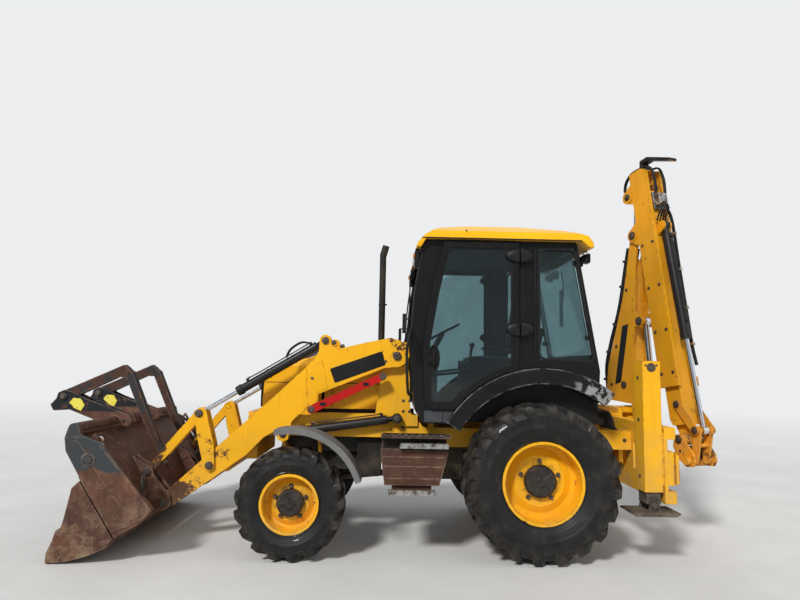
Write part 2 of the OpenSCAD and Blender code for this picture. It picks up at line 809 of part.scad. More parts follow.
module tilt_rods() {
    color(chrome) machine() both()
        ram_rod(tilt_base, lever_top, 22, 380, arm_y, eye_half, 40);
}

module tilt_levers() {
    t = lever_t;
    color(steel_yellow) machine() both() {
        for (y = [lever_in - t, lever_out]) {
            slab([[-3040, 680], [-2992, 655], [-2945, 690], [-2960, 900], [-3050, 1225],
                [-3110, 1240], [-3160, 1200], [-3120, 980]], y, y + t);
        }
        pin(lever_pivot, 26, lever_in - t - 8, lever_out + t + 8);
        pin(lever_top, 26, lever_in - t - 6, arm_y - slot_half);
        pin(lever_top, 26, arm_y + slot_half, lever_out + t + 6);
    }
}

module tilt_links() {
    color(steel_yellow) machine() both() {
        for (y = [arm_in, arm_out - 14]) difference() {
            bar(lever_top, bucket_link, 42, 38, y, y + 14);
            pin(lever_top, 26 + pin_gap, y - 1, y + 15);
        }
        pin((lever_top + 2 * bucket_link) / 3, 22, arm_in + 1, arm_out - 1);
    }
}

board = concat([[-4010, 1045]], [for (t = [0:0.125:1])
    [-3985, 1030] * pow(1 - t, 2) + [-3535, 735] * 2 * t * (1 - t) + [-3580, 214] * pow(t, 2)]);
bucket_side = [[-4018, 906], [-3892, 700], [-3573, 212], [-3381, 323], [-3282, 438],
    [-3336, 505], [-3480, 673], [-3737, 977], [-3908, 1040], [-4035, 1014]];
board_t = 16;
clam_ram_y = bucket_half - 111;
clam_ram_r = 20;

module bucket() {
    end = bucket_half - bucket_t - 34;
    color(rust) machine() {
        // Curved back sheet
        slab(concat(board, [for (i = [len(board) - 1:-1:0]) board[i] + [board_t, 10]]), -end, end);
        // Box beam along the bottom and the top tube
        slab([[-3584, 214], [-3556, 260], [-3480, 330], [-3440, 300], [-3500, 250]], -end, end);
        pin([-3964, 1089], 46, -bucket_half, bucket_half);
        slab([[-4010, 1045], [-3964, 1060], [-3900, 1060], [-3930, 1010]], -end, end);
        both() {
            difference() {
                slab(bucket_side, bucket_half - bucket_t, bucket_half);
                pin(clam_pivot, 36 + pin_gap, 0, bucket_half + 1);
            }
            slab([[-3570, 216], [-3381, 323], [-3282, 438], [-3336, 505], [-3400, 560],
                [-3500, 440], [-3545, 300]], end - 6, bucket_half - bucket_t + 1);
            slab([[-4035, 1014], [-3990, 1000], [-3908, 1040], [-3920, 1100], [-4010, 1100]],
                bucket_half - bucket_t - 20, bucket_half - 1);
            bucket_ears();
            clam_ram_bracket();
        }
        both() translate([0, 350, 0]) fork_bracket();
    }
}

// The pair of plates that hold the arm's end and the tilt link's end
module bucket_ears() {
    t = lever_t;
    for (y = [lever_in - t, lever_out]) {
        slab([[-3720, 800], [-3600, 720], [-3515, 690], [-3500, 620], [-3340, 440], [-3325, 350],
            [-3380, 305], [-3470, 300], [-3560, 300], [-3585, 420], [-3640, 600], [-3740, 780]],
            y, y + t);
    }
    pin(bucket_pin, 30, lever_in - t - 10, lever_out + t + 10);
    for (y = [lever_in - t - 10, lever_out + t - 1]) pin(bucket_link, 34, y, y + 11);
}

module clam_ram_bracket() {
    for (y = [-37, 23]) slab([[-3560, 300], [-3470, 290], [-3396, 400], [-3394, 450],
        [-3430, 474], [-3480, 466], [-3575, 400]], clam_ram_y + y, clam_ram_y + y + 14);
    pin(clam_base, 20, clam_ram_y - 39, clam_ram_y + 39);
}

// One of the two arms on the bucket's top that carry a folding fork
module fork_bracket() {
    for (y = [-62, 48]) difference() {
        slab([[-4400, 1185], [-4104, 1072], [-3964, 1050], [-3840, 1040], [-3800, 1080],
            [-3840, 1145], [-4247, 1290], [-4400, 1362], [-4466, 1372], [-4520, 1345],
            [-4535, 1290], [-4587, 1231], [-4553, 1174]], y, y + 14);
        pin([-4390, 1262], 15, y - 1, y + 15);
    }
    pin(fork_pin, 24, -74, 74);
    slab([[-4104, 1072], [-3964, 1050], [-3840, 1040], [-3840, 1052], [-3964, 1062],
        [-4104, 1084]], -50, 50);
}

module fork() {
    heel = [-3895, 1575];
    tip = [-3439, 640];
    difference() {
        union() {
            slab([fork_pin + [-18, 50], fork_pin + [14, -44], [-3980, 1500], [-3880, 1500],
                [-3845, 1560], [-3920, 1622]], -42, 42);
            pin(fork_pin, 46, -42, 42);
            slab([[-3890, 1500], [-3700, 1080], tip, tip + [24, 6], [-3640, 1110],
                [-3838, 1560]], -42, 42);
        }
        pin(fork_pin, 24 + pin_gap, -50, 50);
    }
}

module fork_l() {
    color("#4a3730") machine() translate([0, -350, 0]) fork();
}

module fork_r() {
    color("#4a3730") machine() translate([0, 350, 0]) fork();
}

clam_side = [[-3890, 662], [-3936, 616], [-4003, 298], [-4050, 265], [-4076, 176],
    [-4114, 87], [-4113, 7], [-3961, 20], [-3762, 74], [-3634, 130], [-3583, 205]];
clam_floor = [[-4113, 7], [-3961, 20], [-3762, 74], [-3634, 130], [-3586, 206]];

module clam() {
    arm_y0 = bucket_half - bucket_t - 29;
    color(rust) machine() {
        slab(concat(clam_floor, [for (i = [len(clam_floor) - 1:-1:0])
            clam_floor[i] + [-14 * i / 4, 22]]), -bucket_half + 3, bucket_half - 3);
        slab([[-4113, 7], [-4050, 13], [-3900, 50], [-3900, 90], [-4060, 50], [-4113, 30]],
            -bucket_half + 3, bucket_half - 3);
        both() {
            slab(clam_side, bucket_half - bucket_t, bucket_half);
            slab([[-3906, 650], [-3880, 656], [-3620, 270], [-3660, 200], [-3960, 560]],
                arm_y0, bucket_half - bucket_t + 1);
            slab([[-3880, 820], [-3910, 690], [-3880, 640], [-3790, 640], [-3750, 820],
                [-3768, 1010], [-3800, 1050], [-3835, 1010]], arm_y0, bucket_half - bucket_t - 4);
            pin(clam_pivot, 36, arm_y0, bucket_half + 12);
            pin(clam_eye, 34, clam_ram_y + 19, arm_y0 + 1);
        }
    }
}

module clam_barrels() {
    color(steel_black) machine() both()
        barrel(clam_base, clam_eye, clam_ram_r, 14, 425, clam_ram_y, 16, 20);
}

module clam_rods() {
    color(chrome) machine() both()
        ram_rod(clam_base, clam_eye, 14, 330, clam_ram_y, 16, 34);
}

// Rear frame and its legs

frame_t = 100;
rail_lo = 545;
rail_hi = 1080;
leg_gap = 3;
leg_up_z = 571;

module rear_frame() {
    face = frame_rear_x + frame_t;
    color(steel_yellow) machine() {
        for (z = [rail_lo, rail_hi]) translate([frame_rear_x, -rear_frame_half, z])
            cube([frame_t, 2 * rear_frame_half, 100]);
        difference() {
            translate([frame_rear_x, -rear_frame_half, rail_lo + 99])
                cube([30, 2 * rear_frame_half, rail_hi - rail_lo - 98]);
            for (y = [-820, 480]) translate([frame_rear_x - 1, y, rail_lo + 190])
                cube([32, 340, rail_hi - rail_lo - 280]);
            translate([frame_rear_x - 1, -300, rail_lo + 190])
                cube([32, 600, rail_hi - rail_lo - 280]);
        }
        both() leg_housing();
    }
}

// The square housing that a leg slides in, with its top pin and its bracket
module leg_housing() {
    y0 = rear_frame_half - leg_d;
    z0 = 640;
    difference() {
        translate([leg_x - leg_w / 2, y0, z0]) cube([leg_w, leg_d, leg_top_z - z0]);
        translate([leg_x - leg_w / 2 + leg_wall, y0 + leg_wall, z0 - 1])
            cube([leg_w - 2 * leg_wall, leg_d - 2 * leg_wall, leg_top_z - z0 - 30]);
    }
    pin([leg_x, leg_top_z - 56], 16, y0 - 14, rear_frame_half + 14);
    translate([leg_x + leg_w / 2 - 1, y0 + 10, 697])
        cube([frame_rear_x - leg_x - leg_w / 2 + 2, leg_d - 20, 440]);
    translate([frame_rear_x + 29, y0 + 5, 697]) cube([55, leg_d - 5, 283]);
}

module leg() {
    y0 = rear_frame_half - leg_d + leg_wall;
    bore_w = leg_w - 2 * leg_wall;
    bore_d = leg_d - 2 * leg_wall;
    g = leg_gap;
    translate([leg_x - bore_w / 2 + g, y0 + g, leg_up_z - 30])
        cube([bore_w - 2 * g, bore_d - 2 * g, 1040]);
    // Wear pads
    for (z = [690, 1540]) translate([leg_x - bore_w / 2 + seat_gap, y0 + seat_gap, z])
        cube([bore_w - 2 * seat_gap, bore_d - 2 * seat_gap, 60]);
    // Foot
    pin([leg_x, leg_up_z - 40], 24, y0 - 30, y0 + bore_d + 30);
    for (y = [y0 - 24, y0 + bore_d + 8]) slab([[leg_x - 60, 468], [leg_x + 60, 468],
        [leg_x + 34, leg_up_z - 5], [leg_x - 34, leg_up_z - 5]], y, y + 16);
    slab([[leg_x - 210, 470], [leg_x - 170, 448], [leg_x + 170, 448], [leg_x + 210, 470],
        [leg_x + 200, 482], [leg_x - 200, 482]], y0 - 50, y0 + bore_d + 50);
}

module leg_l() {
    color("#3c3c3c") machine() mirror([0, 1, 0]) leg();
}

module leg_r() {
    color("#3c3c3c") machine() leg();
}

// Backhoe

kingpost_r = 80;
king_pin_r = 50;
lug_lo = [518, 562];
lug_hi = [1200, 1260];
post_plate = 105;
post_plate_t = 25;
carriage_half = 350;

// The slew axis, with X outwards along the boom and Y across it
module backhoe() {
    machine() translate([slew_x, shift_park, 0]) rotate([0, 0, -slew_park]) children();
}

module carriage() {
    face = frame_rear_x + frame_t + seat_gap;
    color(steel_yellow) machine() translate([0, shift_park, 0]) {
        translate([face, -carriage_half, lug_lo[0]]) cube([46, 2 * carriage_half, lug_hi[1] - lug_lo[0]]);
        // Hooks over the top rail and under the bottom rail
        translate([frame_rear_x + 20, -carriage_half, rail_hi + 100 + seat_gap])
            cube([frame_t, 2 * carriage_half, 28]);
        translate([frame_rear_x + 20, -carriage_half, rail_lo - 28 - seat_gap])
            cube([frame_t, 2 * carriage_half, 28]);
        for (z = [lug_lo, lug_hi]) translate([0, 0, z[0]]) carriage_lug(z[1] - z[0]);
        // Slew rams beside the post
        for (y = [-250, 250]) translate([face + 40, y, 880]) rotate([0, 90, 0])
            cylinder(r = 62, h = 60, $fn = 36);
    }
}

module carriage_lug(h) {
    difference() {
        union() {
            linear_extrude(h) polygon([[frame_rear_x + frame_t + 20, -carriage_half + 20],
                [slew_x - 115, -125], [slew_x, -125], [slew_x, 125], [slew_x - 115, 125],
                [frame_rear_x + frame_t + 20, carriage_half - 20]]);
            translate([slew_x, 0, 0]) cylinder(r = 125, h = h, $fn = 48);
        }
        translate([slew_x, 0, -1]) cylinder(r = king_pin_r + pin_gap, h = h + 2, $fn = 48);
    }
}

module kingpost() {
    z0 = lug_lo[1] + seat_gap;
    z1 = lug_hi[0] - seat_gap;
    color(steel_yellow) backhoe() {
        translate([0, 0, z0]) cylinder(r = kingpost_r, h = z1 - z0, $fn = 48);
        translate([0, 0, lug_lo[0] - 6]) cylinder(r = king_pin_r, h = lug_hi[1] - lug_lo[0] + 16, $fn = 48);
        difference() {
            both() slab([[-60, 620], [120, 575], [420, 575], [500, 600], [515, 650], [480, 700],
                [350, 800], [330, 960], [300, 1040], [230, 1055], [120, 1060], [-60, 1100]],
                post_plate, post_plate + post_plate_t);
            pin([330, 790], 40, -200, 200);
        }
        for (z = [640, 1020]) translate([-50, -post_plate - 1, z]) cube([100, 2 * post_plate + 2, 60]);
        pin(boom_foot, 35, -post_plate - post_plate_t - 14, post_plate + post_plate_t + 14);
        both() pin(boom_ram_base, 30, 34, post_plate + 1);
        pin(boom_ram_base, 27, -35, 35);
    }
}

boom_side = concat([[190, 3090], [110, 2700], [60, 2480], [0, 2300], [-110, 1980], [-200, 1720],
    [-250, 1345], [-150, 1322], [160, 1300], [190, 1100], [192, 960], [205, 915], [250, 905],
    [318, 940], [330, 1000],
    [280, 1200], [232, 1400], [208, 1700], [210, 1950], [240, 2140], [290, 2145]],
    arc(boom_ram_eye, 58, -60, 60, 6), [[280, 2262], [246, 2300], [262, 2800], [324, 3130]],
    arc(boom_tip, 60, 0, 160, 8));
boom_web = [[198, 1110], [196, 1300], [192, 1500], [184, 1900], [192, 2200], [212, 2600],
    [232, 2900]];

module boom() {
    in = boom_half - 20;
    lug = 34;
    color(steel_yellow) backhoe() difference() {
        union() {
            both() slab(boom_side, in, boom_half);
            // Inner web between the two rams, and the back plate at the foot
            slab(concat(boom_web, [for (i = [len(boom_web) - 1:-1:0]) boom_web[i] - [14, 0]]),
                -in - 1, in + 1);
            slab([[-190, 1700], [-236, 1360], [-146, 1338], [120, 1322], [122, 1336],
                [-142, 1352], [-220, 1371], [-175, 1698]], -in - 1, in + 1);
            pin(boom_foot, 70, -post_plate + seat_gap, post_plate - seat_gap);
            pin(boom_tip, 55, -plate_in + seat_gap, plate_in - seat_gap);
            pin(boom_tip, 30, -150, 150);
            both() pin(boom_ram_eye, 44, lug, in + 1);
            both() pin(dipper_ram_base, 40, lug, in + 1);
            pin(dipper_ram_base, 24, -lug - 1, lug + 1);
        }
        pin(boom_foot, 35 + pin_gap, -200, 200);
    }
}

module boom_barrel() {
    color(steel_black) backhoe() barrel(boom_ram_base, boom_ram_eye, 60, 32, 880, 0, 30, 27);
}

module boom_rod() {
    color(chrome) backhoe() ram_rod(boom_ram_base, boom_ram_eye, 32, 760, 0, 28, 46);
}

module dipper_barrel() {
    color(steel_black) backhoe() barrel(dipper_ram_base, boom_frame(dip_lever), 50, 25, 1250, 0, 30, 24);
}

module dipper_rod() {
    color(chrome) backhoe() ram_rod(dipper_ram_base, boom_frame(dip_lever), 25, 900, 0, 24, 42);
}

// A place on the folded dipper, [down, out], in the boom's own plane
function boom_frame(p) = boom_tip + p[0] * [sin(dipper_lean), -cos(dipper_lean)]
    + p[1] * [cos(dipper_lean), sin(dipper_lean)];

// The dipper's own frame: X down along it and Z outwards
module on_dipper() {
    backhoe() translate([boom_tip[0], 0, boom_tip[1]]) rotate([0, 90 - dipper_lean, 0])
        children();
}

plate_in = 104;
plate_t = 20;
ram_slot = 80;
inner_half = 95;

module dipper() {
    color(steel_yellow) on_dipper() {
        difference() {
            union() {
                both() {
                    slab([[dip_top, dip_in], [dip_end, dip_in], [dip_end, dip_out],
                        [dip_top + 30, dip_out], [dip_top, dip_out - 60]], plate_in, plate_in + plate_t);
                    slab([[-150, dip_in + 30], [-60, -38], [60, -38], [170, dip_in + 30]],
                        plate_in, plate_in + plate_t);
                    slab([[-600, dip_in + 30], [-510, -40], [-400, -40], [-330, dip_in + 30]],
                        plate_in, plate_in + plate_t);
                    pin([0, 0], 68, plate_in, plate_in + plate_t + 8);
                    pin(dip_lever, 72, plate_in, plate_in + plate_t + 10);
                    pin(dip_lever, 40, 32, plate_in + 1);
                    // Lips that hold the inner dipper in
                    slab([[dip_top + 40, dip_out - 18], [dip_end, dip_out - 18], [dip_end, dip_out],
                        [dip_top + 40, dip_out]], ram_slot, plate_in + 1);
                }
                // Back plate with an opening over the dipper ram
                slab([[-300, dip_in], [dip_end, dip_in], [dip_end, dip_in + 20],
                    [-300, dip_in + 20]], -plate_in - 1, plate_in + 1);
                slab([[dip_top, dip_in + 60], [dip_top + 14, dip_in + 60], [dip_top + 14, dip_out - 60],
                    [dip_top, dip_out - 60]], -plate_in - 1, plate_in + 1);
                // Collar round the open end
                both() slab([[dip_end - 90, dip_in - 14], [dip_end, dip_in - 14],
                    [dip_end, dip_out + 14], [dip_end - 90, dip_out + 14]],
                    plate_in + plate_t - 1, plate_in + plate_t + 14);
                rod([dip_top + 2, 200], [860, 200], 22);
                top_bracket();
            }
            pin([0, 0], 30 + pin_gap, -200, 200);
        }
    }
}

// The bent stop on top of the dipper
module top_bracket() {
    slab([[dip_top + 10, 160], [-830, 190], [-830, 300], [-670, 600], [-640, 590], [-790, 296],
        [-790, 215], [dip_top + 10, 230]], -50, 50);
}

module inner_dipper() {
    h = inner_half;
    color(steel_yellow) on_dipper() {
        difference() {
            slab([[inner_top, inner_in], [inner_end - 60, inner_in], [inner_end, inner_in + 30],
                [inner_end, inner_out], [inner_top, inner_out]], -h, h);
            slab([[inner_top - 1, inner_in + 14], [inner_end - 90, inner_in + 14],
                [inner_end - 90, inner_out - 14], [inner_top - 1, inner_out - 14]], -h + 14, h - 14);
        }
        // Wear pads
        both() for (a = [inner_top, 100, dip_end - 120]) translate([a, h - 1, inner_in + 40])
            cube([90, plate_in - h + 1 - seat_gap, 100]);
        // Nose with the hitch's bore
        difference() {
            union() {
                slab([[inner_end - 91, inner_in], [inner_end, inner_in + 20], nose_pin + [-10, -55],
                    nose_pin + [20, 50], [inner_end, inner_out], [inner_end - 91, inner_out]], -50, 50);
                pin(nose_pin, 56, -58, 58);
            }
            pin(nose_pin, 28 + pin_gap, -60, 60);
        }
        pin(tip_pivot, 26, -118, 118);
        pin(tip_pivot, 44, -99 + seat_gap, 99 - seat_gap);
        // Bracket of the bucket ram
        both() slab([[-60, inner_out - 1], [90, inner_out - 1], [45, ram_top[1] + 25],
            [20, ram_top[1] + 44], [-20, ram_top[1] + 44], [-45, ram_top[1] + 25]], 32, 50);
        pin(ram_top, 24, -51, 51);
    }
}

module bucket_barrel() {
    color(steel_black) on_dipper() barrel(ram_top, ram_eye, 48, 25, 1240, 0, 30, 24);
}

module bucket_rod() {
    color(chrome) on_dipper() ram_rod(ram_top, ram_eye, 25, 1000, 0, 28, 42);
}

module tip_levers() {
    color(steel_yellow) on_dipper() both() {
        difference() {
            bar(tip_pivot, ram_eye, 46, 40, 99, 115);
            pin(tip_pivot, 26 + pin_gap, 98, 116);
        }
        pin(ram_eye, 26, 32, 118);
    }
}

module tip_link() {
    color(steel_yellow) on_dipper() {
        both() difference() {
            bar(ram_eye, hitch_link, 42, 36, 60, 85);
            pin(ram_eye, 26 + pin_gap, 59, 86);
        }
        pin((ram_eye + hitch_link) / 2, 20, -61, 61);
    }
}

module hitch() {
    color(steel_yellow) on_dipper() {
        both() {
            slab([[2170, 200], [2230, 165], [2285, 148], [2400, 188], [2480, 275], [2484, 350],
                [2440, 384], [2370, 380], [2290, 330], [2240, 294], [2180, 275]], 122, 147);
            pin(nose_pin, 54, 58 + seat_gap, 123);
            pin(hitch_link, 26, 90, 123);
        }
        pin(nose_pin, 28, -155, 155);
        pin(hitch_link, 34, -205, -146);
        slab([[2285, 150], [2400, 190], [2478, 275], [2466, 285], [2392, 206], [2281, 165]],
            -123, 123);
    }
}

main_frame();
hood();
grille();
engine_block();
driveline();
knuckle_l();
knuckle_r();
tyre_fl();
tyre_fr();
tyre_rl();
tyre_rr();
rim_fl();
rim_fr();
rim_rl();
rim_rr();
cab_frame();
cab_roof();
cab_glass();
door_l();
door_r();
door_glass_l();
door_glass_r();
fenders();
tanks();
seat();
console();
exhaust();
lamps();
mirrors();
loader_arms();
lift_barrels();
lift_rods();
tilt_barrels();
tilt_rods();
tilt_levers();
tilt_links();
bucket();
clam();
clam_barrels();
clam_rods();
fork_l();
fork_r();
safety_strut();
rear_frame();
leg_l();
leg_r();
carriage();
kingpost();
boom();
boom_barrel();
boom_rod();
dipper();
dipper_barrel();
dipper_rod();
inner_dipper();
bucket_barrel();
bucket_rod();
tip_levers();
tip_link();
hitch();
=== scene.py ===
"""Looks of the backhoe loader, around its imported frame.

Lengths are millimetres from the rear axle, with Z from the ground.
"""
import json
import math

import bmesh
import bpy
from mathutils import Matrix, Vector


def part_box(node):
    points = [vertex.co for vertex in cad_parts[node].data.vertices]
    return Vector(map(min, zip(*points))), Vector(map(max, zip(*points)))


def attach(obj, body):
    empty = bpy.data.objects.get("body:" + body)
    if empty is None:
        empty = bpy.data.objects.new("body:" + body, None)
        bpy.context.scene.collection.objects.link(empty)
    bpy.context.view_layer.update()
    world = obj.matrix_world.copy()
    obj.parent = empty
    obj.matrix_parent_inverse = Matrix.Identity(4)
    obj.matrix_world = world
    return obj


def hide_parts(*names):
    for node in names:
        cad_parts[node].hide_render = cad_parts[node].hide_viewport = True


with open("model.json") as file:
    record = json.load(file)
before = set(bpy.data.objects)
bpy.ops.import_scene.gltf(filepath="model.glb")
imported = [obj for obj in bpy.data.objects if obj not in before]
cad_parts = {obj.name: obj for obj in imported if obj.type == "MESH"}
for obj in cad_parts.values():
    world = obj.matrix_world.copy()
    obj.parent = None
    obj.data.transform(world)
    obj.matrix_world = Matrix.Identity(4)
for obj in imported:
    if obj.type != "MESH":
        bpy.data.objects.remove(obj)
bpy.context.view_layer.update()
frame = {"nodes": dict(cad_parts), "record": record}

# Places taken from the frame
MM = 0.001


def middle(node):
    lo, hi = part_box(node)
    return (Vector(lo) + Vector(hi)) / 2


AXLE_X = middle("rim_rl").x
FRONT_X = (middle("rim_fl").x - AXLE_X) / MM
REAR_R = middle("tyre_rl").z / MM
FRONT_R = middle("tyre_fl").z / MM
JOINTS = {j["name"]: j for j in frame["record"]["behaviour"]["joints"]}
MACHINE = Matrix.Translation((AXLE_X, 0, 0)) @ Matrix.Scale(MM, 4)


def pin_at(joint):
    """A joint's place in millimetres from the rear axle."""
    return MACHINE.inverted() @ Vector(JOINTS[joint]["pos_m"])


SLEW = pin_at("slew")
SLEW_ANGLE = math.radians(-70)
LEAN = math.radians(9.3)
HOE = Matrix.Translation((SLEW.x, SLEW.y, 0)) @ Matrix.Rotation(SLEW_ANGLE, 4, "Z")
TIP = HOE.inverted() @ pin_at("dipper_out")
DIPPER = HOE @ Matrix.Translation(TIP) @ Matrix.Rotation(math.pi / 2 - LEAN, 4, "Y")
SIDES = (("l", -1), ("r", 1))


# Meshes

def smooth_path(points, steps):
    """Points on a smooth curve through the given ones."""
    pts = [Vector(p) for p in points]
    if len(pts) < 3:
        return pts
    ends = [2 * pts[0] - pts[1]] + pts + [2 * pts[-1] - pts[-2]]
    out = []
    for a, b, c, d in zip(ends, ends[1:], ends[2:], ends[3:]):
        for i in range(steps):
            t = i / steps
            out.append(0.5 * (2 * b + (c - a) * t + (2 * a - 5 * b + 4 * c - d) * t * t
                              + (3 * b - a - 3 * c + d) * t ** 3))
    return out + [pts[-1]]


def around(n, phase=0.0):
    """Cosine and sine of n even steps of a turn, the first one phase steps on."""
    return [(math.cos(a), math.sin(a)) for a in (2 * math.pi * (k + phase) / n for k in range(n))]


def side_of(axis):
    """Two unit vectors across an axis."""
    axis = axis.normalized()
    helper = Vector((0, 0, 1)) if abs(axis.z) < 0.9 else Vector((1, 0, 0))
    u = axis.cross(helper).normalized()
    return u, axis.cross(u)


def placed(name, data):
    """A new object in the scene."""
    obj = bpy.data.objects.new(name, data)
    bpy.context.scene.collection.objects.link(obj)
    return obj


class Shape:
    """Gathers solids in one mesh. place turns its own millimetres into the machine's."""

    def __init__(self, place=None):
        self.bm = bmesh.new()
        self.place = place or Matrix()

    def faces(self, points, quads):
        verts = [self.bm.verts.new(p) for p in points]
        for q in quads:
            self.bm.faces.new([verts[i] for i in q])

    def box(self, lo, hi, turn=None):
        """A box from corner to corner, in a turned frame where one is given."""
        x, y, z = zip(lo, hi)
        pts = [Vector((x[i], y[j], z[k])) for i in (0, 1) for j in (0, 1) for k in (0, 1)]
        self.faces([turn @ p for p in pts] if turn else pts,
                   [(0, 1, 3, 2), (4, 6, 7, 5), (0, 4, 5, 1), (2, 3, 7, 6), (0, 2, 6, 4), (1, 5, 7, 3)])

    def prism(self, outline, y0, y1):
        """An outline in XZ, from y0 to y1."""
        n = len(outline)
        pts = [(x, y, z) for y in (y0, y1) for x, z in outline]
        rings = [tuple(range(n)), tuple(range(2 * n - 1, n - 1, -1))]
        self.faces(pts, rings + [(i, i + n, (i + 1) % n + n, (i + 1) % n) for i in range(n)])

    def rings(self, rows, caps=True):
        """A skin over closed rows of points."""
        n = len(rows[0])
        pts = [p for row in rows for p in row]
        quads = [(r * n + i, r * n + (i + 1) % n, (r + 1) * n + (i + 1) % n, (r + 1) * n + i)
                 for r in range(len(rows) - 1) for i in range(n)]
        if caps:
            quads += [tuple(range(n - 1, -1, -1)), tuple(range((len(rows) - 1) * n, len(rows) * n))]
        self.faces(pts, quads)

    def lathe(self, base, axis, profile, n, hollow=False):
        """A closed turned form: profile rows are distance along the axis and radius. A hollow one is a ring."""
        base, axis = Vector(base), Vector(axis).normalized()
        u, v = side_of(axis)
        if hollow:
            profile = profile + profile[:1]
        self.rings([[base + axis * a + (u * c + v * s) * max(r, 0.01) for c, s in around(n)] for a, r in profile],
                   caps=not hollow)

    def rod(self, p, q, r, n, chamfer=0.0):
        p, q, c = Vector(p), Vector(q), chamfer
        long = (q - p).length
        profile = [(0, r - c), (c, r), (long - c, r), (long, r - c)] if c else [(0, r), (long, r)]
        self.lathe(p, q - p, profile, n)

    def tube(self, points, r, n, steps=6):
        path = smooth_path(points, steps)
        u = side_of(path[1] - path[0])[0]
        rows = []
        for i, p in enumerate(path):
            d = (path[min(i + 1, len(path) - 1)] - path[max(i - 1, 0)]).normalized()
            u = (u - d * u.dot(d)).normalized()
            v = d.cross(u)
            rows.append([p + (u * c + v * s) * r for c, s in around(n)])
        self.rings(rows)

    def bolt(self, p, axis, r, h):
        """A washer and a six-sided head."""
        p, axis = Vector(p), Vector(axis).normalized()
        self.lathe(p, axis, [(0, r * 1.5), (h * 0.25, r * 1.5)], 20)
        self.lathe(p + axis * h * 0.25, axis, [(0, r), (h * 0.65, r), (h * 0.8, r * 0.86)], 6)

    def stud(self, p, ring, high, r, long, taper=2, n=36, side=1):
        """A pin's end along Y: a collar by radius and height, then the pin by radius, length and taper."""
        self.lathe(p, (0, side, 0), [(0, ring), (high, ring), (high, r), (long, r - taper), (long, 0)], n)

    def mirrored(self):
        """Adds the same again on the other side of the machine."""
        extra = bmesh.ops.duplicate(self.bm, geom=self.bm.verts[:] + self.bm.edges[:] + self.bm.faces[:])["geom"]
        for v in extra:
            if isinstance(v, bmesh.types.BMVert):
                v.co.y = -v.co.y
        bmesh.ops.reverse_faces(self.bm, faces=[f for f in extra if isinstance(f, bmesh.types.BMFace)])
        return self

    def pair(self, *args, **more):
        """A piece of all this and its mirror image."""
        return self.mirrored().piece(*args, **more)

    def piece(self, name, mat, body, slot, bevel=0.0, angle=35, subdivide=0):
        """Finishes the mesh as one piece that rides on a body, and begins the next mesh."""
        bmesh.ops.transform(self.bm, matrix=MACHINE @ self.place, verts=self.bm.verts)
        bmesh.ops.recalc_face_normals(self.bm, faces=self.bm.faces)
        mesh = bpy.data.meshes.new(name)
        self.bm.to_mesh(mesh)
        self.bm.free()
        self.bm = bmesh.new()
        mesh.shade_smooth()
        mesh.set_sharp_from_angle(angle=math.radians(angle))
        mesh.materials.append(MATS[mat])
        obj = placed(name, mesh)
        if bevel:
            mod = obj.modifiers.new("Bevel", "BEVEL")
            mod.width = bevel * MM
            mod.segments = 2
            mod.limit_method = "ANGLE"
            mod.angle_limit = math.radians(40)
            mod.harden_normals = True
        if subdivide:
            mod = obj.modifiers.new("Subdivide", "SUBSURF")
            mod.levels = mod.render_levels = subdivide
        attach(obj, body)
        return obj


# Materials

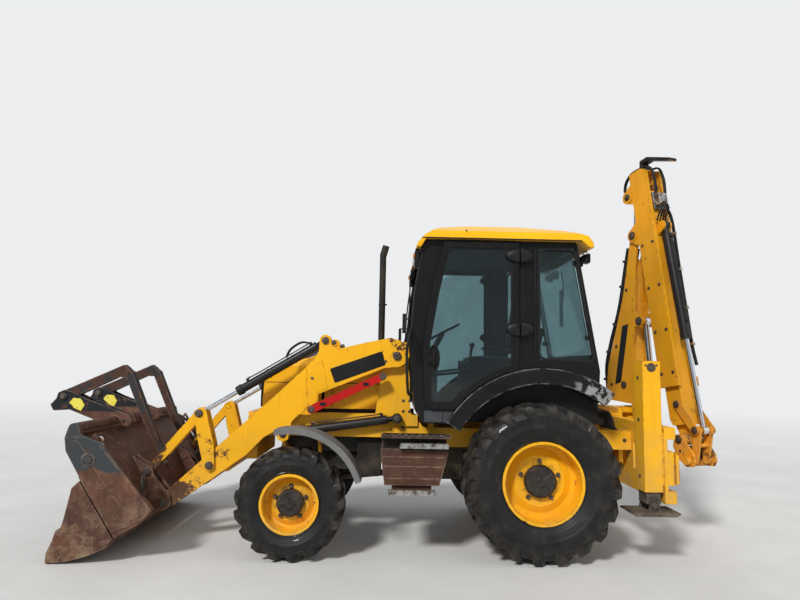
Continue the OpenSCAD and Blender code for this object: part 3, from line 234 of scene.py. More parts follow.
class Finish:
    """One node material. Patterns use object coordinates, in metres, so that they ride with the piece."""

    def __init__(self, name, rough=0.5, metal=0.0):
        self.mat = bpy.data.materials.new(name)
        self.mat.use_nodes = True
        self.tree = self.mat.node_tree
        self.tree.nodes.clear()
        self.bsdf = self.tree.nodes.new("ShaderNodeBsdfPrincipled")
        self.out = self.tree.nodes.new("ShaderNodeOutputMaterial")
        self.tree.links.new(self.bsdf.outputs[0], self.out.inputs[0])
        self.coord = self.tree.nodes.new("ShaderNodeTexCoord").outputs["Object"]
        self.set("Roughness", rough)
        self.set("Metallic", metal)
        self.set("Specular IOR Level", 0.5 if metal else 0.2)

    def node(self, kind, inputs=(), **props):
        n = self.tree.nodes.new(kind)
        for key, value in props.items():
            setattr(n, key, value)
        for key, value in dict(inputs).items():
            self.put(n.inputs[key], value)
        return n

    def put(self, socket, value):
        if isinstance(value, bpy.types.NodeSocket):
            self.tree.links.new(value, socket)
        elif isinstance(value, (tuple, list)) and len(value) == 3 and len(socket.default_value) == 4:
            socket.default_value = (*value, 1)
        else:
            socket.default_value = value

    def set(self, socket, value):
        """Gives one of the shader's sockets a value or a link."""
        self.put(self.bsdf.inputs[socket], value)

    def moved(self, stretch=(1, 1, 1), shift=(0, 0, 0)):
        return self.node("ShaderNodeMapping", {"Vector": self.coord, "Scale": stretch, "Location": shift}).outputs[0]

    def noise(self, scale, detail, rough=0.55, stretch=(1, 1, 1), shift=(0, 0, 0)):
        return self.node("ShaderNodeTexNoise", {"Vector": self.moved(stretch, shift), "Scale": scale,
                                                "Detail": detail, "Roughness": rough}).outputs[0]

    def span(self, value, lo, hi, to_lo=0.0, to_hi=1.0):
        """value from lo to hi, mapped to to_lo to to_hi and held at the ends."""
        return self.node("ShaderNodeMapRange", {"Value": value, "From Min": lo, "From Max": hi,
                                                "To Min": to_lo, "To Max": to_hi}).outputs[0]

    def spots(self, lo, hi, scale, detail, rough=0.55, shift=(0, 0, 0), top=1.0, low=0.0):
        """Patches of noise: low where it is under lo, top where it is over hi."""
        return self.span(self.noise(scale, detail, rough, shift=shift), lo, hi, low, top)

    def math(self, op, a, b=0.0, clamp=False):
        return self.node("ShaderNodeMath", {0: a, 1: b}, operation=op, use_clamp=clamp).outputs[0]

    def times(self, a, b, clamp=False):
        return self.math("MULTIPLY", a, b, clamp)

    def plus(self, a, b):
        return self.math("ADD", a, b)

    def most(self, a, b):
        return self.math("MAXIMUM", a, b)

    def mix(self, fac, a, b):
        n = self.node("ShaderNodeMix", {0: fac}, data_type="RGBA")
        self.put(n.inputs[6], a)
        self.put(n.inputs[7], b)
        return n.outputs[2]

    def axis(self, i):
        return self.node("ShaderNodeSeparateXYZ", {0: self.coord}).outputs[i]

    def vector(self, op, inputs, output="Value"):
        return self.node("ShaderNodeVectorMath", inputs, operation=op).outputs[output]

    def near(self, place, radius):
        """1 at a place in millimetres from the rear axle, 0 beyond the radius."""
        d = self.vector("DISTANCE", {0: self.coord, 1: tuple(MACHINE @ Vector(place))})
        return self.span(d, radius * MM * 0.2, radius * MM, 1, 0)

    def ring(self, x, z, lo, hi):
        """1 inside lo and 0 outside hi, both radii round an axle at x and z."""
        at = MACHINE @ Vector((x, 0, z))
        flat = self.vector("MULTIPLY", {0: self.coord, 1: (1, 0, 1)}, 0)
        return self.span(self.vector("DISTANCE", {0: flat, 1: (at.x, 0, at.z)}), lo * MM, hi * MM, 1, 0)

    def rounding(self, radius):
        return self.node("ShaderNodeBevel", {"Radius": radius}, samples=4).outputs[0]

    def wave(self, vector, scale, warp=0.0, **props):
        return self.node("ShaderNodeTexWave", {"Vector": vector, "Scale": scale, "Distortion": warp},
                         **props).outputs["Fac"]

    def edges(self, radius=0.012):
        """1 along outer and inner edges."""
        flat = self.node("ShaderNodeNewGeometry").outputs["Normal"]
        return self.span(self.vector("DOT_PRODUCT", {0: self.rounding(radius), 1: flat}), 0.995, 0.9, 0, 1)

    def done(self, colour, rough, height, distance, strength, bevel=0.0, **others):
        """Sets the shader's sockets, others by name with _ for a space, and gives the material."""
        self.set("Base Color", colour)
        self.set("Roughness", rough)
        for name, value in others.items():
            self.set(name.replace("_", " "), value)
        inputs = {"Height": height, "Distance": distance, "Strength": strength}
        if bevel:
            inputs["Normal"] = self.rounding(bevel)
        self.set("Normal", self.node("ShaderNodeBump", inputs).outputs[0])
        return self.mat


DUST = (0.30, 0.23, 0.155)
RUST = (0.115, 0.042, 0.018)
DARK_RUST = (0.035, 0.018, 0.012)
YELLOW = (0.90, 0.44, 0.004)


def scaled(colour, k, add=0.0):
    return tuple(c * k + add for c in colour)


def paint(name, base, rough=0.42, chips=0.5, dust=0.35, dust_top=1.2, rusty=(), under=RUST, coat=0.1,
          edge=True, shade=0.84, bevel=0.004, extra=None):
    """Painted steel: tone drift, streaks, chips to rust, worn edges, and dust towards the ground."""
    f = Finish(name, rough)
    big = f.noise(1.3, 3)
    fine = f.noise(34, 4, 0.7)
    streak = f.noise(5, 4, 0.6, (3.2, 3.2, 0.28))
    colour = f.mix(f.span(big, 0.35, 0.68), base, scaled(base, shade))
    colour = f.mix(f.span(streak, 0.56, 0.8, 0, 0.35), colour, scaled(base, 0.5))
    if extra:
        colour = extra(f, colour)
    chip_noise = f.noise(17, 5, 0.72, shift=(3, 1, 5))
    amount = f.span(big, 0.3, 0.75, 0.0, 0.05)
    mask = f.span(f.plus(chip_noise, amount), 0.735 - 0.05 * chips, 0.765 - 0.05 * chips)
    for place, radius, strength in rusty:
        spot = f.times(f.near(place, radius), strength)
        rough_edge = f.span(f.plus(f.noise(9, 6, 0.75, shift=(1, 7, 2)), f.times(spot, 0.3)), 0.66, 0.72)
        mask = f.most(mask, rough_edge)
    if edge:
        worn = f.times(f.edges(), f.spots(0.47, 0.58, 14, 4, 0.7, (2, 2, 9)))
        mask = f.most(mask, f.times(worn, 0.9))
    metal = f.mix(f.span(fine, 0.35, 0.65), under, DARK_RUST)
    colour = f.mix(mask, colour, metal)
    low = f.span(f.axis(2), dust_top, 0.15, 0.12, 1)
    dirt = f.times(low, f.spots(0.4, 0.72, 4.5, 6, 0.7, (9, 4, 1), low=0.1))
    dirt = f.times(dirt, dust, clamp=True)
    worn_rough = f.most(f.times(mask, 0.85), f.span(dirt, 0, 0.4, rough, 0.8))
    rough = f.plus(worn_rough, f.span(fine, 0.2, 0.8, -0.05, 0.07))
    height = f.plus(f.plus(f.times(mask, -0.5), f.times(fine, 0.25)), f.times(f.noise(3, 2), 2.0))
    return f.done(f.mix(dirt, colour, DUST), rough, height, 0.0012, 0.5, bevel, Coat_Weight=coat, Coat_Roughness=0.2)


def rusty_steel(name, extra, bright):
    """Bucket steel: brown rust with dark stains, scrapes and dried soil."""
    f = Finish(name, 0.75)
    big = f.noise(2.2, 5, 0.65)
    mid = f.noise(9, 6, 0.7, shift=(4, 2, 7))
    fine = f.noise(60, 5, 0.75)
    run = f.noise(3.0, 5, 0.65, (3, 3, 0.45), (1, 5, 2))
    brown = scaled((0.150, 0.062, 0.036), bright)
    light = scaled((0.26, 0.135, 0.085), bright)
    colour = f.mix(f.span(big, 0.36, 0.64), (0.058, 0.028, 0.020), brown)
    colour = f.mix(f.span(mid, 0.46, 0.72, 0, 0.75), colour, light)
    colour = f.mix(f.span(run, 0.53, 0.74, 0, 0.7), colour, (0.035, 0.022, 0.018))
    colour = extra(f, f.mix(f.span(fine, 0.58, 0.75, 0, 0.5), colour, (0.30, 0.19, 0.13)))
    scrape = f.span(f.noise(6, 5, 0.75, (0.5, 3, 4), (8, 1, 3)), 0.63, 0.70, 0, 0.55)
    colour = f.mix(scrape, colour, (0.36, 0.27, 0.21))
    edge = f.times(f.edges(0.015), f.span(mid, 0.4, 0.6, 0.1, 0.7))
    colour = f.mix(edge, colour, (0.33, 0.24, 0.18))
    soil = f.times(f.span(f.axis(2), 0.55, 0.0, 0, 0.8), f.span(mid, 0.42, 0.62))
    return f.done(f.mix(soil, colour, (0.27, 0.19, 0.12)), f.span(mid, 0.3, 0.7, 0.55, 0.9),
                  f.plus(f.times(mid, 2.5), fine), 0.002, 0.6, 0.005, Metallic=f.times(scrape, 0.5))


def rubber(name, x, z, r):
    """Tyre rubber: greyer on worn faces, dusty on the tread, and with rings round the axle."""
    f = Finish(name)
    mid = f.noise(7, 5, 0.7)
    fine = f.noise(55, 5, 0.75, shift=(3, 3, 3))
    colour = f.mix(f.span(mid, 0.35, 0.7), (0.0085, 0.0083, 0.008), (0.017, 0.0166, 0.016))
    colour = f.mix(f.span(fine, 0.58, 0.8, 0, 0.3), colour, (0.06, 0.055, 0.05))
    tread = f.math("SUBTRACT", 1, f.ring(x, z, r * 0.80, r * 0.96))
    dirt = f.times(tread, f.spots(0.44, 0.66, 11, 6, 0.72, (5, 8, 2), top=0.45))
    colour = f.mix(dirt, colour, (0.12, 0.092, 0.066))
    axle = f.moved(shift=(-(MACHINE @ Vector((x, 0, z))).x, 0, -z * MM))
    rings = f.wave(axle, 11.0, wave_type="RINGS", rings_direction="Y")
    return f.done(f.mix(f.span(mid, 0.55, 0.8, 0, 0.1), colour, DUST), f.span(mid, 0.3, 0.7, 0.36, 0.68),
                  f.plus(f.times(rings, 0.6), fine), 0.0012, 0.6, Coat_Weight=0.08)


def plastic(name, base, rough=0.5, grain=260, scuff=None, bevel=0.004):
    """Moulded plastic with a fine grain, faded and dusty on top."""
    f = Finish(name, rough)
    mid = f.noise(4, 5, 0.65)
    colour = f.mix(f.span(mid, 0.35, 0.7), base, scaled(base, 1.7, 0.002))
    up = f.node("ShaderNodeSeparateXYZ", {0: f.node("ShaderNodeNewGeometry").outputs["Normal"]}).outputs[2]
    top = f.times(f.span(up, 0.3, 1, 0, 0.28), f.spots(0.38, 0.65, 8, 5, 0.7))
    colour = f.mix(top, colour, DUST)
    if scuff:
        colour = scuff(f, colour)
    return f.done(colour, f.span(mid, 0.3, 0.7, rough - 0.1, rough + 0.15), f.noise(grain, 2), 0.0004, 0.35, bevel)


def chrome(name):
    """A ram's polished rod, with rubbed bands along it."""
    f = Finish(name, 0.13, 1.0)
    rub = f.noise(30, 4, 0.6, (1, 1, 0.2))
    return f.done(f.mix(f.span(rub, 0.4, 0.75, 0, 0.5), (0.72, 0.74, 0.77), (0.42, 0.40, 0.38)),
                  f.span(rub, 0.35, 0.75, 0.08, 0.3), f.noise(150, 3, 0.6, (1, 1, 0.1)), 0.0002, 0.3)


def bare_steel(name, base=(0.42, 0.41, 0.39), rough=0.42):
    """Worn bright steel or zinc with grime."""
    f = Finish(name, rough, 0.85)
    mid = f.noise(16, 5, 0.7)
    return f.done(f.mix(f.span(mid, 0.45, 0.62), base, (0.09, 0.06, 0.045)),
                  f.span(mid, 0.35, 0.65, rough - 0.12, rough + 0.3), f.noise(120, 3), 0.0004, 0.5)


def glass(name, tint, rough=0.015):
    """Tinted safety glass with smears that dull it here and there."""
    f = Finish(name, rough)
    return f.done(f.mix(f.spots(0.35, 0.7, 3, 5, 0.7), tint, scaled(tint, 0.82)),
                  f.spots(0.45, 0.8, 9, 4, 0.7, top=rough + 0.09, low=rough), f.noise(1.5, 1), 0.0004, 0.15,
                  Transmission_Weight=1.0, Specular_IOR_Level=0.5, IOR=1.45)


def fabric(name, base):
    """Woven seat cloth with a twill and a soft sheen."""
    f = Finish(name, 0.9)
    both = f.times(*(f.wave(f.moved((1, y, 1)), 260.0, 1.5, bands_direction="DIAGONAL") for y in (1, -1)))
    colour = f.mix(f.span(both, 0.1, 0.8), scaled(base, 0.55), base)
    colour = f.mix(f.spots(0.4, 0.7, 6, 4, top=0.3), colour, scaled(base, 1.8, 0.02))
    return f.done(colour, 0.9, both, 0.0006, 0.7, Sheen_Weight=0.3)


def lens(name, tint):
    """A moulded lamp lens with fine ribs."""
    f = Finish(name, 0.12)
    ribs = f.wave(f.moved(), 95.0, bands_direction="Y")
    return f.done(f.mix(f.span(ribs, 0, 1), tint, scaled(tint, 0.75)), 0.12, ribs, 0.0008, 0.6, Coat_Weight=0.8)


def step_top(f, colour):
    """The upper step's moulding is black."""
    return f.mix(f.span(f.axis(2), 0.938, 0.942, 0, 0.9), colour, (0.010, 0.009, 0.009))


def top_bracket(f, colour):
    """The bent stop above the dipper is black."""
    return f.mix(f.span(f.axis(2), 3.875, 3.885), colour, (0.006, 0.006, 0.006))


def fork_paint(f, colour):
    """Black paint left on the lower sides of the fork arms."""
    patch = f.spots(0.47, 0.53, 4, 5, 0.7, (6, 1, 1))
    return f.mix(f.times(patch, 0.85), colour, (0.028, 0.030, 0.034))


def bucket_paint(f, colour):
    """Dark grey paint left on the upper part of the bucket's side plates."""
    rough_edge = f.times(f.spots(0.3, 0.7, 5, 5, 0.7, (2, 6, 3)), 0.10)
    high = f.span(f.plus(f.axis(2), rough_edge), 0.79, 0.81)
    side = f.span(f.math("ABSOLUTE", f.axis(1)), 1.150, 1.155)
    front = f.span(f.plus(f.axis(0), f.times(f.axis(2), 0.62)), AXLE_X - 3.02, AXLE_X - 3.03)
    keep = f.times(f.times(high, side), front)
    keep = f.times(keep, f.spots(0.66, 0.58, 8, 5, 0.7, (4, 4, 1)))
    colour = f.mix(keep, colour, (0.040, 0.044, 0.046))
    bracket = f.times(f.span(f.axis(2), 1.16, 1.18), f.spots(0.60, 0.54, 7, 5, 0.7, (1, 8, 2)))
    return f.mix(bracket, colour, (0.014, 0.015, 0.018))


def fender_scuffs(f, colour):
    """The rear tip and upper edge of the mudguards are scraped pale."""
    tip = f.most(f.near((640, -850, 1480), 330), f.near((640, 850, 1480), 330))
    edge = f.times(f.edges(0.02), f.spots(0.42, 0.55, 11, 5, 0.75, (2, 1, 1)))
    patch = f.span(f.plus(f.noise(5, 6, 0.72, shift=(3, 9, 9)), f.times(tip, 0.17)), 0.60, 0.635)
    mask = f.most(f.times(patch, f.span(tip, 0, 0.4)), edge)
    return f.mix(f.times(mask, 0.8), colour, (0.34, 0.34, 0.33))


def leg_dust(f, colour):
    return f.mix(f.spots(0.45, 0.7, 6, 5, 0.7, top=0.8), colour, (0.045, 0.030, 0.022))


def hub_centre(x, z, r):
    """A rim's middle is the black hub."""
    def extra(f, colour):
        hub = f.ring(x, z, r, r + 2)
        grime = f.times(f.ring(x, z, r + 10, r + 70), f.spots(0.45, 0.65, 14, 5, 0.7, top=0.75))
        colour = f.mix(grime, colour, (0.05, 0.03, 0.02))
        return f.mix(hub, colour, (0.012, 0.0115, 0.011))
    return extra


# Rusty spots: place, radius and strength
ARM_RUST = [((-3395, -540, 376), 560, 1.0), ((-3395, 540, 376), 560, 1.0), ((-3000, -560, 800), 300, 0.55),
            ((-3000, 560, 800), 300, 0.55), ((-1250, -560, 1880), 220, 0.7)]
LINK_RUST = [((-3560, y, 650), 420, 1.1) for y in (-520, 520)]
HOE_RUST = [((1900, 100, 900), 900, 0.55), ((1700, 300, 3500), 500, 0.5)]

MATS = {
    "yellow": paint("Yellow paint", YELLOW, dust=0.28),
    "yellow_low": paint("Frame yellow", YELLOW, chips=0.8, dust=0.85, dust_top=1.35),
    "arm": paint("Arm yellow", YELLOW, chips=0.9, dust=0.3, rusty=ARM_RUST),
    "link": paint("Link yellow", YELLOW, chips=1.3, dust=0.3, rusty=LINK_RUST),
    # Boom, dipper and inner dipper: a darker, browner copy of the body yellow with heavier dust reaching higher up,
    # which paints shade on them; the rust spots are real rust
    "hoe_yellow_painted_shade": paint("Boom yellow with painted shade", (0.78, 0.34, 0.006), chips=1.1, dust=0.5, dust_top=1.5, rusty=HOE_RUST, shade=0.72,
                 extra=top_bracket),
    # Hitch and tip levers: a still darker, browner copy of the body yellow with heavy dust, as painted shade, along
    # with real rust and chips
    "hitch": paint("Hitch yellow with painted shade", (0.74, 0.30, 0.012), chips=2.0, dust=0.6, dust_top=1.6, shade=0.6,
                   rusty=[((1950, 130, 900), 900, 1.0)]),
    "roof": paint("Roof yellow", YELLOW, rough=0.35, chips=0.1, dust=0.1, edge=False, coat=0.2, bevel=0.02),
    "rim_front": paint("Front rim yellow", YELLOW, chips=1.3, dust=0.5, dust_top=0.9,
                       extra=hub_centre(FRONT_X, FRONT_R, 115)),
    "rim_rear": paint("Rear rim yellow", YELLOW, chips=0.9, dust=0.35, dust_top=0.9, extra=hub_centre(0, REAR_R, 140)),
    "cab": paint("Cab black", (0.0042, 0.0044, 0.0048), rough=0.34, chips=0.0, dust=0.1, dust_top=1.35,
                 under=(0.03, 0.03, 0.03), coat=0.12),
    "frame_black": paint("Chassis black", (0.017, 0.016, 0.015), rough=0.6, chips=1.0, dust=0.8, dust_top=1.6, coat=0),
    "barrel": paint("Ram black", (0.012, 0.012, 0.013), rough=0.33, chips=0.7, dust=0.3, coat=0.15,
                    under=(0.10, 0.07, 0.05)),
    "guard": paint("Front guard grey", (0.145, 0.15, 0.15), rough=0.6, chips=1.3, dust=0.6, coat=0,
                   under=(0.30, 0.30, 0.29)),
    "red": paint("Strut red", (0.48, 0.006, 0.004), rough=0.38, chips=0.9, dust=0.05, coat=0.05),
    "leg": paint("Leg black", (0.030, 0.028, 0.027), rough=0.6, chips=1.2, dust=0.9, coat=0, extra=leg_dust),
    "sump": paint("Sump black", (0.010, 0.009, 0.0085), rough=0.6, chips=0.6, dust=0.5, dust_top=1.0, coat=0,
                  under=(0.05, 0.035, 0.025)),
    "iron": paint("Engine iron", (0.05, 0.05, 0.048), rough=0.65, chips=1.0, dust=0.5, coat=0),
    "box_brown": rusty_steel("Step brown", step_top, 0.42),
    "bucket": rusty_steel("Bucket steel", bucket_paint, 0.82),
    "fork": rusty_steel("Fork steel", fork_paint, 0.4),
    "fender": plastic("Mudguard plastic", (0.005, 0.0052, 0.0058), 0.33, scuff=fender_scuffs, bevel=0.008),
    "trim": plastic("Trim plastic", (0.007, 0.007, 0.0075), 0.45),
    "grey_trim": plastic("Cab trim", (0.045, 0.048, 0.052), 0.62),
    "hose": plastic("Hose rubber", (0.012, 0.012, 0.012), 0.48, 420, bevel=0),
    "seal": plastic("Seal rubber", (0.008, 0.008, 0.008), 0.6, 500, bevel=0),
    "chrome": chrome("Ram chrome"),
    "steel": bare_steel("Bare steel"),
    "pin": bare_steel("Pin steel", (0.14, 0.12, 0.10), 0.5),
    "zinc": bare_steel("Zinc fittings", (0.55, 0.50, 0.36), 0.35),
    "tag": paint("Worn tag", (0.78, 0.66, 0.09), rough=0.5, chips=2.4, dust=0.2, coat=0, under=DARK_RUST),
    "glass": glass("Tinted glass", (0.34, 0.47, 0.49)),
    "mirror": bare_steel("Mirror face", (0.8, 0.82, 0.84), 0.08),
    "cloth": fabric("Seat cloth", (0.045, 0.050, 0.060)),
    "lens": lens("Clear lens", (0.75, 0.77, 0.78)),
    "amber": lens("Amber lens", (0.85, 0.25, 0.01)),
    "ruby": lens("Red lens", (0.55, 0.01, 0.01)),
    "tyre_front": rubber("Front tyre", FRONT_X, FRONT_R, FRONT_R),
    "tyre_rear": rubber("Rear tyre", 0, REAR_R, REAR_R),
}

NODE_MATS = {
    "yellow": "hood carriage kingpost",
    "yellow_low": "main_frame rear_frame",
    "arm": "loader_arms tilt_levers",
    "link": "tilt_links",
    "hoe_yellow_painted_shade": "boom dipper inner_dipper",
    "hitch": "hitch tip_levers tip_link",
    "roof": "cab_roof",
    "rim_front": "rim_fl rim_fr",
    "rim_rear": "rim_rl rim_rr",
    "cab": "cab_frame door_l door_r",
    "frame_black": "driveline exhaust",
    "barrel": "lift_barrels tilt_barrels clam_barrels boom_barrel dipper_barrel bucket_barrel",
    "guard": "knuckle_l knuckle_r",
    "red": "safety_strut",
    "leg": "leg_l leg_r",
    "iron": "engine_block",
    "box_brown": "tanks",
    "bucket": "bucket clam",
    "fork": "fork_l fork_r",
    "fender": "fenders",
    "trim": "grille mirrors",
    "grey_trim": "console",
    "chrome": "lift_rods tilt_rods clam_rods boom_rod dipper_rod bucket_rod",
    "glass": "cab_glass door_glass_l door_glass_r",
    "cloth": "seat",
    "lens": "lamps",
    "tyre_front": "tyre_fl tyre_fr",
    "tyre_rear": "tyre_rl tyre_rr",
}


def dress():
    """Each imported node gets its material."""
    for mat, nodes in NODE_MATS.items():
        for node in nodes.split():
            obj = frame["nodes"][node]
            if not obj.material_slots:
                obj.data.materials.append(MATS[mat])
            for s in obj.material_slots:
                s.material = MATS[mat]


# Wheels

WHEELS = {"fl": (FRONT_X, -930, FRONT_R), "fr": (FRONT_X, 930, FRONT_R),
          "rl": (0, -895, REAR_R), "rr": (0, 895, REAR_R)}
TYRES = {"f": dict(r=475, w=320, rim=253.5, lugs=17), "r": dict(r=680, w=450, rim=355.5, lugs=20)}
LUG_H = 36
LUG_STEPS = 9
# The wall from bead to tread: parts of its height, and half widths as parts of the tyre's
WALL = [(0.16, 0.42), (0.3, 0.462), (0.40, 0.478), (0.42, 0.487), (0.46, 0.487), (0.48, 0.482), (0.62, 0.484),
        (0.74, 0.472), (0.76, 0.478), (0.80, 0.466)]


def tyre(which):
    """A carcass with ribbed walls and a chevron of round-cornered lugs that wrap over the shoulders."""
    t = TYRES[which[0]]
    r, w, rim = t["r"], t["w"], t["rim"]
    tread = r - LUG_H
    wall = tread - rim
    half = [(rim - 10, 0.355), (rim + 6, 0.375), (rim + 14, 0.392), (rim + 18, 0.386)]
    half += [(rim + part * wall, a) for part, a in WALL]
    half += [(tread - 0.12 * wall, 0.435), (tread - 0.04 * wall, 0.39), (tread, 0.30), (tread + 4, 0.15),
             (tread + 6, 0)]
    profile = [(-a * w, rad) for rad, a in half] + [(a * w, rad) for rad, a in reversed(half[:-1])]
    s = Shape(Matrix.Translation(WHEELS[which]))
    s.lathe((0, 0, 0), (0, 1, 0), profile, 96, hollow=True)
    for side in (-1, 1):
        for i in range(t["lugs"]):
            turn = (i + (side + 1) / 4) * 2 * math.pi / t["lugs"]
            rows = []
            for k in range(LUG_STEPS + 1):
                u = k / LUG_STEPS
                run = min(1, u * 1.16)
                across = side * w * (0.02 + 0.475 * run)
                lean = (2 * run - 1) * 0.19 * w
                fall = max(0.0, (u - 0.72) / 0.28)
                top = math.sqrt(r * r * (1 - 0.0112 * (across / (0.5 * w)) ** 2)) - 4 - 0.16 * r * fall ** 1.6
                low = tread - 0.13 * r * fall - (10 if fall == 0 else 16)
                wide = 0.042 * r + 7 + 5 * u
                across -= side * 0.012 * w * fall ** 2
                row = []
                for off, rad in ((-wide - 5, low), (-wide, top - 5), (-wide + 4, top), (wide - 4, top),
                                 (wide, top - 5), (wide + 5, low)):
                    a = turn + (lean + off) / r
                    row.append((rad * math.sin(a), across, rad * math.cos(a)))
                rows.append(row)
            rows.append([(0.89 * px, side * 0.44 * w, 0.89 * pz) for px, _, pz in rows[-1]])
            s.rings(rows)
    mat = "tyre_front" if which[0] == "f" else "tyre_rear"
    piece = s.piece("Tyre_" + which, mat, "wheel_" + which, "tyre", angle=42)
    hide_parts("tyre_" + which)


def hub(which):
    """Wheel nuts, the hub's bolted and ribbed cover, and the valve."""
    x, y, z = WHEELS[which]
    out = 1 if y > 0 else -1
    front = which[0] == "f"
    t = TYRES[which[0]]
    face = abs(y) + 0.37 * t["w"] - (95 if front else 150)
    hub_r, ring_r = (115, 138) if front else (140, 172)
    s = Shape(Matrix.Translation((x, 0, z)))
    for c, d in around(5, 0.25):
        s.bolt((ring_r * c, out * (face - 1), ring_r * d), (0, out, 0), 14, 26)
    s.piece("Wheel_nuts_" + which, "pin", "wheel_" + which, "rim_yellow", 1)
    cap = face + 57
    s.lathe((0, out * cap, 0), (0, out, 0), [(0, hub_r - 18), (6, hub_r - 20), (9, hub_r - 34), (9, 46), (20, 40),
                                             (22, 20), (18, 18), (18, 0)], 48)
    for c, d in around(10):
        s.bolt(((hub_r - 26) * c, out * (cap + 6), (hub_r - 26) * d), (0, out, 0), 7, 7)
    for c, d in around(5, 0.5):
        s.rod((44 * c, out * (cap + 8), 44 * d), ((hub_r - 40) * c, out * (cap + 8), (hub_r - 40) * d), 6, 8)
    s.piece("Hub_cover_" + which, "barrel", "wheel_" + which, "frame_black", 1.5)
    s.rod((t["rim"] - 34, out * (face - 20), 0), (t["rim"] - 52, out * (face + 14), 0), 5, 10, 1)
    s.piece("Valve_" + which, "zinc", "wheel_" + which, "rim_yellow")


# Hood and front

def hood_trim():
    """Panel seams, catches, the slats behind the louvres, the lamps' lenses and the grille's seal."""
    s = Shape()
    for lo, hi in (((-1262, 1245), (-1256, 1835)), ((-1900, 1245), (-1894, 1660)), ((-2560, 1478), (-1262, 1484))):
        s.box((lo[0], 336, lo[1]), (hi[0], 341.5, hi[1]))
    s.pair("Hood_seams", "seal", "hood", "trim_grey")
    for x in (-2420, -1350):
        s.box((x - 22, 340, 1262), (x + 22, 347, 1292))
        s.rod((x, 346, 1277), (x, 352, 1277), 8, 16, 1)
    s.pair("Hood_catches", "trim", "hood", "trim_grey", 2)
    for x in range(-2304, -2003, 60):
        for z in range(1300, 1421, 30):
            s.box((x, 322, z), (x + 36, 338, z + 5))
    s.pair("Louvre_slats", "trim", "hood", "trim_grey", 0.8)
    s.lathe((-2594, 235, 1375), (-1, 0, 0), [(-6, 50), (6, 52), (9, 46), (11, 20), (11.5, 0)], 40)
    s.pair("Headlamp_lenses", "lens", "hood", "lamp_clear")
    s.prism([(-2590, 1506), (-2586, 1500), (-2570, 1500), (-2570, 1512)], -330, 330)
    s.piece("Grille_seal", "seal", "hood", "trim_grey", 1)


EXHAUST = Vector((-1436, 386, 0))


def exhaust_trim():
    """The heat shield with its slots, and the clamps."""
    s = Shape(Matrix.Translation(EXHAUST))
    for z in (1260, 1780, 2330):
        s.lathe((0, 0, z), (0, 0, 1), [(0, 37), (2, 40), (20, 40), (22, 37)], 32)
        s.box((36, -6, z + 3), (54, 6, z + 19))
        s.bolt((46, -6, z + 11), (0, -1, 0), 5, 5)
    s.lathe((0, 0, 1330), (0, 0, 1), [(0, 37), (4, 58), (420, 58), (424, 37)], 32)
    s.piece("Exhaust_clamps", "frame_black", "root", "exhaust_black", 1)
    for c, d in around(14):
        for z in range(1340, 1677, 42):
            s.rod((58 * c, 58 * d, z), (58 * c, 58 * d, z + 24), 4, 8, 1)
    s.piece("Heat_shield_slots", "seal", "root", "exhaust_black")


# Cab

CAB_FACE = 780
HINGE_Z = [2012, 2697]
QUARTER = [(30, 1745), (560, 1715), (385, 2790), (30, 2790)]


def inset_path(pts, d):
    """A counter-clockwise outline moved inwards."""
    out = []
    for a, b, c in zip(pts[-1:] + pts[:-1], pts, pts[1:] + pts[:1]):
        a, b, c = Vector(a), Vector(b), Vector(c)
        e, g = (b - a).normalized(), (c - b).normalized()
        m, n = Vector((-e.y, e.x)), Vector((-g.y, g.x))
        out.append(tuple(b + (m + n) * d / (1 + m.dot(n))))
    return out


def door_outline(inset):
    """The door's outer edge moved inwards, from its lower front corner."""
    arch = [math.radians(141 - 38 * i / 6) for i in range(7)]
    pts = [(-966, 1285)] + [(73 + 1050 * math.cos(a), 627 + 1050 * math.sin(a)) for a in arch]
    return inset_path(pts + [(-165, 2820), (-856, 2820), (-960, 2350), (-1040, 1866), (-1016, 1341)], inset)


def rounded(pts, r, n=5):
    """The outline with its sharp corners turned into arcs."""
    out = []
    for a, b, c in zip(pts[-1:] + pts[:-1], pts, pts[1:] + pts[:1]):
        a, b, c = Vector(a), Vector(b), Vector(c)
        e, g = (b - a), (c - b)
        if e.angle(g) < math.radians(25):
            out.append(tuple(b))
            continue
        d = min(r, e.length * 0.45, g.length * 0.45)
        p, q = b - e.normalized() * d, b + g.normalized() * d
        out += [tuple(p * (1 - t) ** 2 + b * 2 * t * (1 - t) + q * t * t) for t in (i / n for i in range(n + 1))]
    return out


def frame_strip(s, outer, inner, y0, y1):
    """A flat frame between two outlines with as many points."""
    s.rings([[(x, y, z) for x, z in ring]
             for ring, y in ((outer, y0), (outer, y1), (inner, y1), (inner, y0), (outer, y0))], caps=False)


def half_oval(s, x, way, z, ys):
    """Half of a hinge's domed cover, on one side of x."""
    s.rings([[(x + way * 118 * k * math.sin(b), y, z + 62 * k * math.cos(b))
              for b in (math.pi * i / 16 for i in range(17))] for k, y in zip((1.0, 0.97, 0.86, 0.5), ys)])


